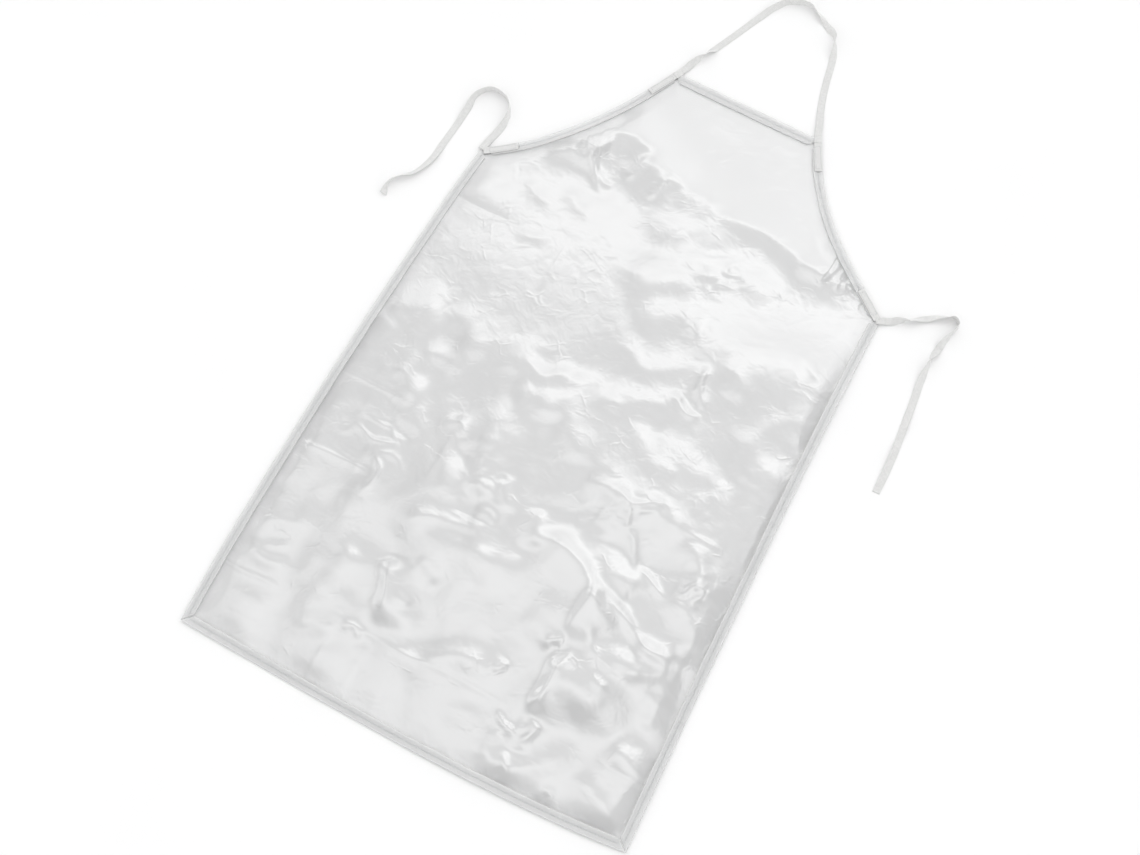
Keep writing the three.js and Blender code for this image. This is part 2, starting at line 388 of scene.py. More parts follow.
@dataclass(frozen=True)
class SewingThread:
    """Spun polyester thread: pale grey against the film, with a soft twisted sheen.

    Attributes:
        name: The material's name.
        light: The colour along the top of the twist.
        dark: Painted shade in the twist's hollows.
    """

    name: str = "spun_polyester_thread"
    light: str = "bfc1c3"
    dark: str = "8e9093"

    def make(self) -> bpy.types.Material:
        """Make the material: fine diagonal twist, drawn at 0.8 mm so that it shows, with painted
        shade in its hollows.
        """
        material, tree = blank_material(self.name)
        place = add_node(tree, "ShaderNodeTexCoord").outputs["Object"]
        twist = add_node(tree, "ShaderNodeTexWave", {
            "Vector": place, "Scale": 0.314 / 0.0008, "Distortion": 1.5, "Detail": 1.0},
            bands_direction="DIAGONAL")
        # The twist's tops keep the thread's pale grey; its hollows are painted shade.
        colour = add_node(tree, "ShaderNodeMix", {
            "Factor": twist.outputs["Fac"], 6: linear(self.dark), 7: linear(self.light)},
            data_type="RGBA")
        bump = add_node(tree, "ShaderNodeBump", {
            "Height": twist.outputs["Fac"], "Strength": 0.4, "Distance": 0.0001})
        thread = add_node(tree, "ShaderNodeBsdfPrincipled", {
            "Base Color": colour.outputs[2], "Roughness": 0.6, "Sheen Weight": 0.15,
            "Normal": bump.outputs["Normal"]})
        add_node(tree, "ShaderNodeOutputMaterial", {"Surface": thread.outputs[0]})
        return material


@dataclass(frozen=True)
class PaintedFloor:
    """Matt white painted board: pale, plain and without a sheen."""

    name: str = "matt_white_board"
    light: str = "f7f7f7"
    dark: str = "f3f3f3"

    def make(self) -> bpy.types.Material:
        """Make the material: an even white with a barely visible mottle of 400 mm."""
        material, tree = blank_material(self.name)
        place = add_node(tree, "ShaderNodeTexCoord").outputs["Object"]
        mottle = add_node(tree, "ShaderNodeTexNoise", {"Vector": place, "Scale": 1 / 0.4})
        colour = add_node(tree, "ShaderNodeMix", {
            "Factor": mottle.outputs["Fac"], 6: linear(self.dark), 7: linear(self.light)},
            data_type="RGBA")
        paint = add_node(tree, "ShaderNodeBsdfPrincipled", {
            "Base Color": colour.outputs[2], "Roughness": 0.95, "Specular IOR Level": 0.0})
        add_node(tree, "ShaderNodeOutputMaterial", {"Surface": paint.outputs[0]})
        return material


# ---- The panel's outline ------------------------------------------------------------------


def bezier(controls: Sequence[PlanPoint], count: int) -> Array:
    """Points spread evenly by length along a Bézier curve.

    Args:
        controls: Its two to four control points.
        count: How many points to give, both ends included.

    Returns:
        Rows of x, y.
    """
    t = np.linspace(0, 1, 400)[:, None]
    order = len(controls) - 1
    line = sum(
        math.comb(order, i) * t**i * (1 - t) ** (order - i) * np.array(control, float)
        for i, control in enumerate(controls)
    )
    return evenly(line, count)


def evenly(line: Array, count: int) -> Array:
    """Points spread evenly by length along a broken line."""
    steps = np.linalg.norm(np.diff(line, axis=0), axis=1)
    travelled = np.concatenate([[0], np.cumsum(steps)])
    wanted = np.linspace(0, travelled[-1], count)
    return np.stack([np.interp(wanted, travelled, column) for column in line.T], axis=1)


def line_length(line: Array) -> float:
    """The length of a broken line."""
    return float(np.linalg.norm(np.diff(line, axis=0), axis=1).sum())


BOTTOM_LEFT: PlanPoint = (-350, 0)
BOTTOM_RIGHT: PlanPoint = (350, 0)
WAIST_RIGHT: PlanPoint = (343, 893)
BIB_RIGHT: PlanPoint = (132, 1150)
BIB_LEFT: PlanPoint = (-137, 1165)
WAIST_LEFT: PlanPoint = (-349, 888)


class Edge(Enum):
    """The panel's six edges, anticlockwise, each with its curve's control points."""

    BOTTOM = (BOTTOM_LEFT, (160, -24), BOTTOM_RIGHT)
    RIGHT_SIDE = (BOTTOM_RIGHT, (336, 560), WAIST_RIGHT)
    RIGHT_ARMHOLE = (WAIST_RIGHT, (262, 965), (188, 1012), BIB_RIGHT)
    BIB = (BIB_RIGHT, BIB_LEFT)
    LEFT_ARMHOLE = (BIB_LEFT, (-205, 1015), (-262, 945), WAIST_LEFT)
    LEFT_SIDE = (WAIST_LEFT, (-364, 780), (-367, 150), BOTTOM_LEFT)

    @property
    def label(self) -> str:
        """The edge's name in node names."""
        return self.name.lower()

    @property
    def hem_width(self) -> float:
        """How wide the margin is turned over."""
        return BIB_HEM_WIDTH if self is Edge.BIB else HEM_WIDTH

    def points(self, count: int) -> Array:
        """Points spread evenly along the edge."""
        return bezier(self.value, count)

    def length(self) -> float:
        """The edge's length."""
        return line_length(self.points(200))

    def inset(self, distance: Array, depth: Array | float) -> Array:
        """Points at distances along the edge, moved into the film by depth.

        Args:
            distance: From the edge's start. Past either end it runs straight on.
            depth: How far into the film, one number or one for each point.

        Returns:
            Rows of x, y.
        """
        line = self.points(400)
        along = np.linspace(0, line_length(line), len(line))
        distance = np.asarray(distance, float)
        inside = np.clip(distance, 0, along[-1])
        place = np.stack([np.interp(inside, along, column) for column in line.T], axis=-1)
        run = np.gradient(line, axis=0)
        run /= np.linalg.norm(run, axis=1)[:, None]
        tangent = np.stack([np.interp(inside, along, column) for column in run.T], axis=-1)
        tangent /= np.linalg.norm(tangent, axis=-1)[..., None]
        inward = np.stack([-tangent[..., 1], tangent[..., 0]], axis=-1)
        beyond = (distance - inside)[..., None]
        reach = np.broadcast_to(np.asarray(depth, float), distance.shape)[..., None]
        return place + tangent * beyond + inward * reach


# ---- How the film lies --------------------------------------------------------------------


class Crest(Enum):
    """How sharp a wrinkle is: the power of its fall from crest to foot, and its rounding."""

    SOFT = (2.0, 7.0)
    FIRM = (1.5, 3.0)
    CRISP = (1.1, 1.2)

    @property
    def power(self) -> float:
        """The power of its fall from crest to foot."""
        return self.value[0]

    @property
    def rounding(self) -> float:
        """How far its crest and foot are rounded off, in millimetres."""
        return self.value[1]


@dataclass(frozen=True)
class Wrinkle:
    """One ridge in the film, or a furrow where its height is negative.

    Attributes:
        height: Of the crest over the film around it.
        left: How far it reaches on the left of its line, as one walks along it.
        right: How far it reaches on the right.
        crest: How its top is rounded.
        line: The points that its crest passes.
    """

    height: float
    left: float
    right: float
    crest: Crest
    line: tuple[PlanPoint, ...]

    def raise_film(self, x: Array, y: Array) -> Array:
        """How much the wrinkle lifts the film at each place.

        Args:
            x: Across the apron.
            y: Up the apron.

        Returns:
            The lift at each place.
        """
        line = evenly(flowing(np.array(self.line, float), 10), 4 * len(self.line))
        reach = 3.2 * max(self.left, self.right)
        near = (
            (x > line[:, 0].min() - reach) & (x < line[:, 0].max() + reach)
            & (y > line[:, 1].min() - reach) & (y < line[:, 1].max() + reach)
        )
        lift = np.zeros_like(x)
        if not near.any():
            return lift
        px, py = x[near], y[near]
        closest = np.full(px.shape, np.inf)
        side = np.zeros(px.shape)  # 1 square on to the line on its left, -1 on its right
        along = np.zeros(px.shape)
        walked = 0.0
        for start, end in zip(line[:-1], line[1:]):
            step = end - start
            size = float(np.hypot(*step))
            share = ((px - start[0]) * step[0] + (py - start[1]) * step[1]) / size**2
            share = np.clip(share, 0, 1)
            dx = px - start[0] - share * step[0]
            dy = py - start[1] - share * step[1]
            gap = np.hypot(dx, dy)
            better = gap < closest
            closest = np.where(better, gap, closest)
            turned = (step[0] * dy - step[1] * dx) / (size * np.maximum(gap, 1e-6))
            side = np.where(better, turned, side)
            along = np.where(better, walked + share * size, along)
            walked += size
        reach_here = self.right + (self.left - self.right) * (0.5 + 0.5 * side)
        fall = np.exp(-((closest / reach_here) ** self.crest.power))
        ends = smooth_step(np.minimum(along, walked - along) / (0.3 * walked) + 0.02)
        lift[near] = self.height * fall * ends
        return lift


def flowing(knots: Array, steps: int) -> Array:
    """A smooth line through knots, each stretch cut in steps.

    Args:
        knots: Rows of coordinates.
        steps: How many pieces each stretch is cut in.

    Returns:
        Rows of coordinates, ends included.
    """
    return passing(knots, np.linspace(0, 1, (len(knots) - 1) * steps + 1))


def passing(knots: Array, shares: Array) -> Array:
    """Places on the centripetal Catmull-Rom curve through knots.

    Args:
        knots: Rows of coordinates.
        shares: How far along, from 0 to 1, each stretch taking an equal share.

    Returns:
        A row of coordinates for each share.
    """
    first = 2 * knots[0] - knots[1]
    last = 2 * knots[-1] - knots[-2]
    padded = np.vstack([first, knots, last])
    position = np.clip(shares, 0, 1) * (len(knots) - 1)
    stretch = np.minimum(position.astype(int), len(knots) - 2)
    t = (position - stretch)[:, None]
    p0, p1, p2, p3 = (padded[stretch + i] for i in range(4))
    g0, g1, g2 = (
        np.sum((b - a) ** 2, axis=1)[:, None] ** 0.25 for a, b in ((p0, p1), (p1, p2), (p2, p3)))
    leave = ((p1 - p0) / g0 - (p2 - p0) / (g0 + g1) + (p2 - p1) / g1) * g1
    arrive = ((p2 - p1) / g1 - (p3 - p1) / (g1 + g2) + (p3 - p2) / g2) * g1
    return (
        p1 + leave * t + (-3 * p1 + 3 * p2 - 2 * leave - arrive) * t**2
        + (2 * p1 - 2 * p2 + leave + arrive) * t**3
    )


def wrinkles(*rows: tuple[Any, ...]) -> tuple[Wrinkle, ...]:
    """Wrinkles from rows of height, left, right, crest, and then the points of the line."""
    return tuple(Wrinkle(*row[:4], row[4:]) for row in rows)


SOFT, FIRM, CRISP = Crest

# The fold below the bib, where the film steps down from the bib to the body.
BIB_FOLD = wrinkles(
    (5.8, 50, 50, FIRM, (-400, 940), (-290, 966), (-190, 1000), (-150, 1018), (-118, 1012),
     (-84, 986), (-40, 968), (12, 964), (60, 940)),
    (1.5, 40, 30, FIRM, (-176, 1000), (-144, 1022), (-124, 1024), (-104, 988)),
    (1.5, 40, 26, FIRM, (-110, 986), (-86, 980), (-56, 980), (-40, 954)),
    (1.4, 40, 24, FIRM, (-40, 950), (-12, 958), (12, 964), (44, 946)),
    (-0.9, 24, 34, SOFT, (-240, 910), (-190, 918), (-110, 914), (-60, 906), (0, 920), (40, 930)),
    (1.6, 12, 6, CRISP, (-70, 918), (-62, 945), (-56, 978)),
    (1.6, 14, 8, CRISP, (-118, 934), (-108, 962), (-104, 1000)),
    (4.0, 70, 27, FIRM, (-10, 936), (56, 949), (122, 950), (166, 940), (212, 926), (290, 884)),
    (1.7, 34, 18, FIRM, (178, 930), (206, 922), (224, 934), (234, 952), (243, 968)),
    (2.6, 5, 9, CRISP, (241, 970), (238, 935), (228, 902)),
    (1.9, 6, 8, CRISP, (262, 956), (258, 930), (262, 905)),
    (1.8, 5, 7, CRISP, (300, 938), (280, 930), (262, 912)),
    (1.5, 5, 5, CRISP, (318, 915), (290, 912), (268, 926)),
)

# Crumples that run from the left armhole towards the middle.
LEFT_ARMHOLE_CRUMPLE = wrinkles(
    (2.1, 6, 8, CRISP, (-222, 1006), (-196, 966), (-166, 926), (-140, 892)),
    (1.6, 5, 6, CRISP, (-204, 1000), (-178, 954), (-152, 912)),
    (2.0, 26, 20, FIRM, (-226, 990), (-205, 974), (-186, 974), (-160, 986)),
    (1.7, 30, 16, FIRM, (-262, 932), (-215, 944), (-165, 936)),
    (1.2, 16, 16, FIRM, (-196, 1018), (-178, 992), (-158, 986)),
    (1.1, 5, 5, CRISP, (-160, 940), (-148, 920), (-128, 918)),
)

# Soft dents and short creases from the waist up to the fold.
WAIST_CREASES = wrinkles(
    (2.8, 48, 30, SOFT, (-44, 856), (-10, 892), (26, 912), (60, 904), (84, 882)),
    (1.4, 40, 20, FIRM, (18, 838), (44, 860), (80, 868), (116, 852)),
    (2.9, 56, 28, SOFT, (-34, 756), (4, 796), (46, 816), (96, 802)),
    (2.5, 40, 24, SOFT, (6, 708), (46, 744), (84, 762), (112, 772)),
    (1.1, 5, 7, CRISP, (80, 756), (94, 746), (102, 728)),
    (1.1, 12, 10, FIRM, (48, 828), (80, 842), (118, 836)),
    (1.4, 40, 18, SOFT, (118, 846), (146, 858), (184, 838)),
    (0.7, 12, 9, FIRM, (-258, 872), (-234, 852), (-200, 838)),
    (0.7, 14, 10, FIRM, (-194, 886), (-166, 862), (-134, 846)),
    (1.0, 34, 22, SOFT, (-340, 840), (-306, 816), (-252, 800)),
    (0.6, 9, 7, FIRM, (-230, 776), (-204, 777), (-172, 788)),
    (0.6, 3, 3, CRISP, (256, 788), (276, 768), (300, 748)),
    (0.6, 3, 3, CRISP, (264, 790), (286, 768), (300, 752)),
    (0.8, 18, 12, SOFT, (262, 896), (284, 900), (304, 880)),
    (0.4, 4, 4, FIRM, (150, 815), (172, 806), (196, 800)),
    (-1.0, 30, 30, SOFT, (-80, 816), (-44, 834), (-14, 826)),
)

# The middle of the body: waves, a crescent and the diagonal rise towards the right hem.
MIDDLE_CREASES = wrinkles(
    (4.4, 60, 76, SOFT, (90, 684), (150, 704), (206, 734), (256, 748), (310, 746), (390, 752),
     (490, 760)),
    (2.4, 30, 36, FIRM, (226, 556), (246, 604), (274, 654), (306, 672), (332, 650), (356, 642)),
    (1.5, 5, 9, CRISP, (300, 668), (312, 655), (322, 634), (356, 630)),
    (2.6, 36, 44, SOFT, (250, 546), (300, 566), (356, 570)),
    (1.4, 26, 17, FIRM, (-10, 656), (24, 670), (50, 652), (82, 660), (106, 680), (134, 690)),
    (1.8, 6, 9, CRISP, (112, 644), (128, 626), (148, 614), (172, 622)),
    (2.0, 7, 12, CRISP, (140, 706), (146, 664), (168, 624)),
    (-0.9, 14, 14, FIRM, (128, 642), (146, 634), (156, 630)),
    (1.4, 14, 14, FIRM, (160, 712), (186, 704), (202, 684), (192, 660)),
    (0.8, 8, 8, FIRM, (172, 694), (184, 680), (180, 664)),
    (1.9, 30, 24, FIRM, (4, 590), (26, 580), (52, 584), (84, 606), (122, 608), (154, 594)),
    (-0.9, 14, 24, FIRM, (50, 566), (92, 572), (140, 574)),
    (1.4, 16, 14, FIRM, (-106, 604), (-98, 582), (-78, 572), (-54, 582), (-34, 612)),
    (1.8, 30, 20, FIRM, (-28, 614), (-22, 580), (-22, 544), (-26, 504)),
    (1.5, 18, 14, SOFT, (-108, 630), (-116, 592), (-130, 546)),
    (2.0, 24, 28, FIRM, (-106, 524), (-76, 536), (-52, 532), (-26, 508)),
    (1.5, 34, 30, SOFT, (-110, 516), (-82, 484), (-58, 446), (-40, 420)),
    (2.0, 24, 30, FIRM, (-26, 504), (2, 508), (26, 494), (44, 462)),
    (0.7, 9, 12, FIRM, (2, 470), (12, 452), (24, 438)),
    (0.7, 20, 12, FIRM, (132, 508), (158, 518), (178, 510)),
    (0.7, 20, 12, FIRM, (226, 510), (252, 508), (272, 492)),
    (0.6, 16, 10, FIRM, (214, 476), (234, 482), (252, 472)),
    (0.7, 18, 12, FIRM, (48, 476), (82, 482), (110, 478)),
    (1.4, 40, 44, SOFT, (60, 520), (120, 540), (196, 534)),
)

# The left side of the body.
LEFT_CREASES = wrinkles(
    (2.2, 40, 30, FIRM, (-356, 566), (-322, 576), (-290, 586), (-250, 596)),
    (1.2, 10, 20, FIRM, (-356, 560), (-332, 544), (-300, 530)),
    (2.1, 30, 17, SOFT, (-252, 612), (-220, 596), (-198, 572), (-182, 540)),
    (2.0, 24, 18, FIRM, (-262, 524), (-220, 530), (-180, 522)),
    (2.2, 26, 16, FIRM, (-280, 496), (-262, 480), (-246, 462), (-216, 448)),
    (1.7, 26, 16, FIRM, (-176, 432), (-152, 444), (-134, 434), (-116, 404)),
    (1.6, 6, 8, CRISP, (-152, 460), (-142, 444), (-130, 428)),
    (1.1, 4, 4, CRISP, (-147, 440), (-145, 395), (-146, 340)),
    (3.4, 34, 40, SOFT, (-70, 408), (-112, 352), (-146, 286), (-160, 226)),
    (1.6, 5, 7, CRISP, (-240, 345), (-218, 330), (-214, 305), (-224, 278)),
    (1.2, 8, 9, FIRM, (-348, 316), (-332, 296), (-328, 262), (-346, 236)),
    (2.5, 24, 20, FIRM, (-344, 164), (-316, 182), (-286, 198), (-254, 200)),
    (2.0, 16, 14, FIRM, (-330, 156), (-306, 134), (-280, 132), (-256, 150)),
    (1.2, 10, 8, FIRM, (-308, 150), (-286, 158), (-266, 170)),
    (1.8, 26, 34, SOFT, (-352, 62), (-300, 66), (-240, 60)),
    (2.1, 16, 16, SOFT, (-182, 216), (-192, 160), (-206, 100)),
    (1.5, 14, 16, SOFT, (-222, 196), (-230, 150), (-238, 106)),
    (1.7, 18, 16, FIRM, (-210, 70), (-180, 82), (-146, 78)),
    (1.8, 8, 10, CRISP, (-150, 92), (-128, 104), (-108, 88)),
)

# The lower middle: arches, the pocket and a long low ridge.
LOWER_CREASES = wrinkles(
    (4.8, 26, 40, SOFT, (-140, 232), (-104, 262), (-50, 272), (10, 272), (60, 262)),
    (2.5, 14, 15, FIRM, (-150, 252), (-124, 290), (-76, 304), (-28, 306), (-8, 290)),
    (1.7, 14, 12, FIRM, (-64, 330), (-40, 336), (-18, 326)),
    (2.0, 16, 18, FIRM, (-100, 234), (-72, 226), (-50, 210)),
    (4.4, 30, 12, FIRM, (-140, 222), (-126, 196), (-110, 164), (-104, 116)),
    (1.5, 5, 6, CRISP, (-128, 196), (-116, 172), (-108, 140)),
    (1.4, 9, 10, FIRM, (-102, 166), (-86, 168), (-76, 158)),
    (3.4, 22, 34, FIRM, (-90, 92), (-30, 98), (-4, 116), (16, 132), (50, 136), (92, 128)),
    (1.7, 6, 10, CRISP, (90, 160), (84, 146), (72, 136)),
    (1.7, 16, 18, SOFT, (40, 60), (64, 62), (92, 74)),
    (2.0, 22, 20, SOFT, (76, 246), (106, 254), (138, 244)),
    (1.9, 20, 18, SOFT, (70, 224), (98, 220), (126, 206)),
    (2.4, 12, 22, FIRM, (24, 384), (32, 352), (50, 322)),
    (1.4, 12, 12, FIRM, (-92, 362), (-72, 370), (-54, 360)),
    (1.9, 14, 16, FIRM, (-50, 402), (-34, 374), (-10, 354)),
    (2.2, 40, 40, SOFT, (-60, 190), (0, 200), (60, 190)),
)

# The right side of the body, where the film is most rumpled.
RIGHT_CREASES = wrinkles(
    (5.2, 17, 52, FIRM, (20, 344), (70, 344), (110, 332), (144, 306), (172, 280), (226, 262)),
    (2.0, 9, 8, FIRM, (150, 330), (176, 304), (206, 288), (244, 264), (304, 252)),
    (4.7, 60, 34, FIRM, (76, 420), (112, 440), (160, 450), (206, 446), (250, 420)),
    (-2.0, 30, 16, FIRM, (96, 384), (140, 378), (190, 372), (240, 372)),
    (2.4, 18, 24, FIRM, (140, 334), (176, 338), (206, 332)),
    (3.6, 24, 26, FIRM, (228, 440), (258, 414), (278, 384), (294, 346)),
    (3.9, 24, 26, FIRM, (236, 340), (272, 338), (296, 320), (308, 292), (306, 256)),
    (1.9, 5, 6, CRISP, (248, 366), (264, 356), (272, 374), (288, 376), (288, 362), (268, 346)),
    (1.9, 5, 5, CRISP, (146, 414), (164, 400), (178, 374), (192, 358)),
    (1.5, 4, 5, CRISP, (188, 368), (206, 360), (222, 350), (246, 336)),
    (1.5, 4, 5, CRISP, (138, 448), (142, 428), (150, 408)),
    (1.7, 6, 8, CRISP, (108, 456), (138, 448), (166, 462), (188, 468)),
    (1.7, 18, 12, FIRM, (54, 448), (96, 452), (128, 438)),
    (3.7, 26, 18, FIRM, (230, 256), (272, 262), (310, 254)),
    (3.1, 14, 24, FIRM, (310, 254), (284, 236), (254, 222), (236, 206)),
    (2.4, 18, 16, SOFT, (258, 200), (286, 206), (314, 234)),
    (1.7, 12, 14, FIRM, (300, 214), (302, 186), (296, 154)),
    (4.4, 24, 34, FIRM, (262, 122), (300, 108), (350, 86)),
    (2.6, 20, 26, FIRM, (240, 62), (286, 44), (334, 20)),
    (4.2, 40, 60, SOFT, (232, 262), (238, 214), (236, 166), (222, 110)),
    (2.6, 18, 28, FIRM, (104, 16), (150, 26), (184, 42), (212, 70), (226, 100)),
    (3.1, 30, 24, SOFT, (154, 184), (194, 166), (238, 150)),
    (1.4, 8, 9, FIRM, (160, 268), (176, 236), (204, 208)),
    (1.2, 7, 7, FIRM, (200, 196), (214, 186), (230, 188)),
    (0.8, 18, 14, FIRM, (80, 22), (112, 30), (150, 20)),
    (1.7, 6, 9, CRISP, (214, -4), (214, 22), (226, 22), (230, -4)),
    (1.4, 8, 9, FIRM, (120, 68), (120, 36), (126, 22)),
)

# The long upright crumple on the right, from the main ridge down to the bottom hem.
UPRIGHT_CRUMPLE = wrinkles(
    (3.9, 24, 9, FIRM, (152, 322), (146, 282), (142, 250), (146, 218)),
    (2.2, 7, 7, CRISP, (148, 226), (134, 216), (124, 208), (136, 200)),
    (5.1, 34, 10, FIRM, (138, 204), (150, 180), (152, 150), (146, 100)),
    (2.0, 6, 9, CRISP, (150, 222), (160, 208), (154, 180), (152, 140), (148, 104)),
    (2.2, 6, 6, CRISP, (144, 104), (156, 98), (168, 92), (160, 74), (150, 56)),
    (1.7, 5, 5, CRISP, (142, 78), (156, 88), (168, 92)),
    (2.0, 6, 6, CRISP, (146, 54), (148, 34), (158, 20), (157, -8)),
    (1.9, 5, 5, CRISP, (102, 94), (122, 78), (142, 72), (154, 60)),
)

# Straight creases left where the apron was folded for its packet.
PACKET_CREASES = wrinkles(
    (-0.5, 5, 4, CRISP, (-362, 793), (-310, 789), (-260, 788), (-206, 784)),
    (0.5, 3, 3, CRISP, (-366, 445), (-310, 442), (-260, 441), (-214, 438)),
    (0.9, 4, 5, CRISP, (-368, 311), (-310, 315), (-262, 316), (-206, 313)),
    (1.0, 4, 6, CRISP, (-366, 107), (-320, 103), (-280, 105), (-244, 108)),
    (0.8, 5, 5, CRISP, (-360, 122), (-336, 118), (-318, 106)),
    (0.6, 3, 4, CRISP, (-186, 104), (-130, 105), (-60, 101), (10, 104), (90, 103), (150, 98)),
    (0.6, 3, 4, CRISP, (-104, 318), (-60, 317), (-8, 318)),
    (0.7, 3, 3, CRISP, (218, 444), (246, 444), (290, 441)),
    (-0.7, 4, 3, CRISP, (256, 94), (300, 89), (366, 88)),
    (0.6, 3, 3, CRISP, (-148, 92), (-152, 44), (-148, -10)),
    (0.5, 3, 3, CRISP, (-102, 98), (-98, 56), (-98, -10)),
    (0.5, 3, 3, CRISP, (-50, 46), (-50, 20), (-49, -12)),
    (0.7, 3, 3, CRISP, (-146, 800), (-146, 740), (-147, 690)),
    (0.7, 3, 3, CRISP, (318, 560), (318, 500), (320, 420)),
    (0.6, 3, 3, CRISP, (324, 350), (322, 310), (324, 270)),
    (0.7, 3, 3, CRISP, (144, 700), (142, 672), (142, 640)),
)


@dataclass(frozen=True)
class CrumpledPatch:
    """A patch of fine sharp creases.

    Attributes:
        middle: Its place on the panel.
        reach: Its radius.
        height: Of its creases.
    """

    middle: PlanPoint
    reach: float
    height: float


CRUMPLED_PATCHES = (
    CrumpledPatch((-242, 362), 46, 2.0),
    CrumpledPatch((-86, 432), 26, 1.6),
    CrumpledPatch((150, 452), 36, 1.8),
    CrumpledPatch((112, 400), 40, 1.0),
    CrumpledPatch((150, 70), 30, 1.8),
    CrumpledPatch((276, 930), 30, 2.2),
    CrumpledPatch((-196, 966), 30, 1.6),
    CrumpledPatch((92, 742), 14, 1.2),
    CrumpledPatch((270, 380), 34, 1.2),
    CrumpledPatch((-66, 388), 40, 1.2),
    CrumpledPatch((90, 846), 30, 1.4),
)


def rounded(survey: Array, radius: float) -> Array:
    """Round off a raster of heights.

    Args:
        survey: The heights.
        radius: The rounding, in raster steps.

    Returns:
        The rounded heights.
    """
    turns = np.meshgrid(*(np.fft.fftfreq(n) for n in survey.shape), indexing="ij")
    keep = np.exp(-2 * (math.pi * radius) ** 2 * (turns[0] ** 2 + turns[1] ** 2))
    return np.fft.ifft2(np.fft.fft2(survey) * keep).real


def lattice_noise(x: Array, y: Array, cell: float, seed: int) -> Array:
    """Smooth noise from about -1 to 1 from two turned lattices, the same on every run.

    Args:
        x: Across the apron.
        y: Up the apron.
        cell: The lattice's spacing.
        seed: Which noise.

    Returns:
        The noise at each place.
    """
    size = int(5200 / cell) + 3
    values = np.random.default_rng(seed).uniform(-1, 1, (2, size, size))
    total = 0.0
    for turn, knots in zip((0.6 + 1.7 * seed, 1.4 + 1.7 * seed), values):
        u = (x * math.cos(turn) - y * math.sin(turn) + 2600) / cell
        v = (x * math.sin(turn) + y * math.cos(turn) + 2600) / cell
        i, j = u.astype(int), v.astype(int)
        su, sv = smooth_step(u - i), smooth_step(v - j)
        low = knots[i, j] * (1 - su) + knots[i + 1, j] * su
        high = knots[i, j + 1] * (1 - su) + knots[i + 1, j + 1] * su
        total = total + low * (1 - sv) + high * sv
    return total / 1.4


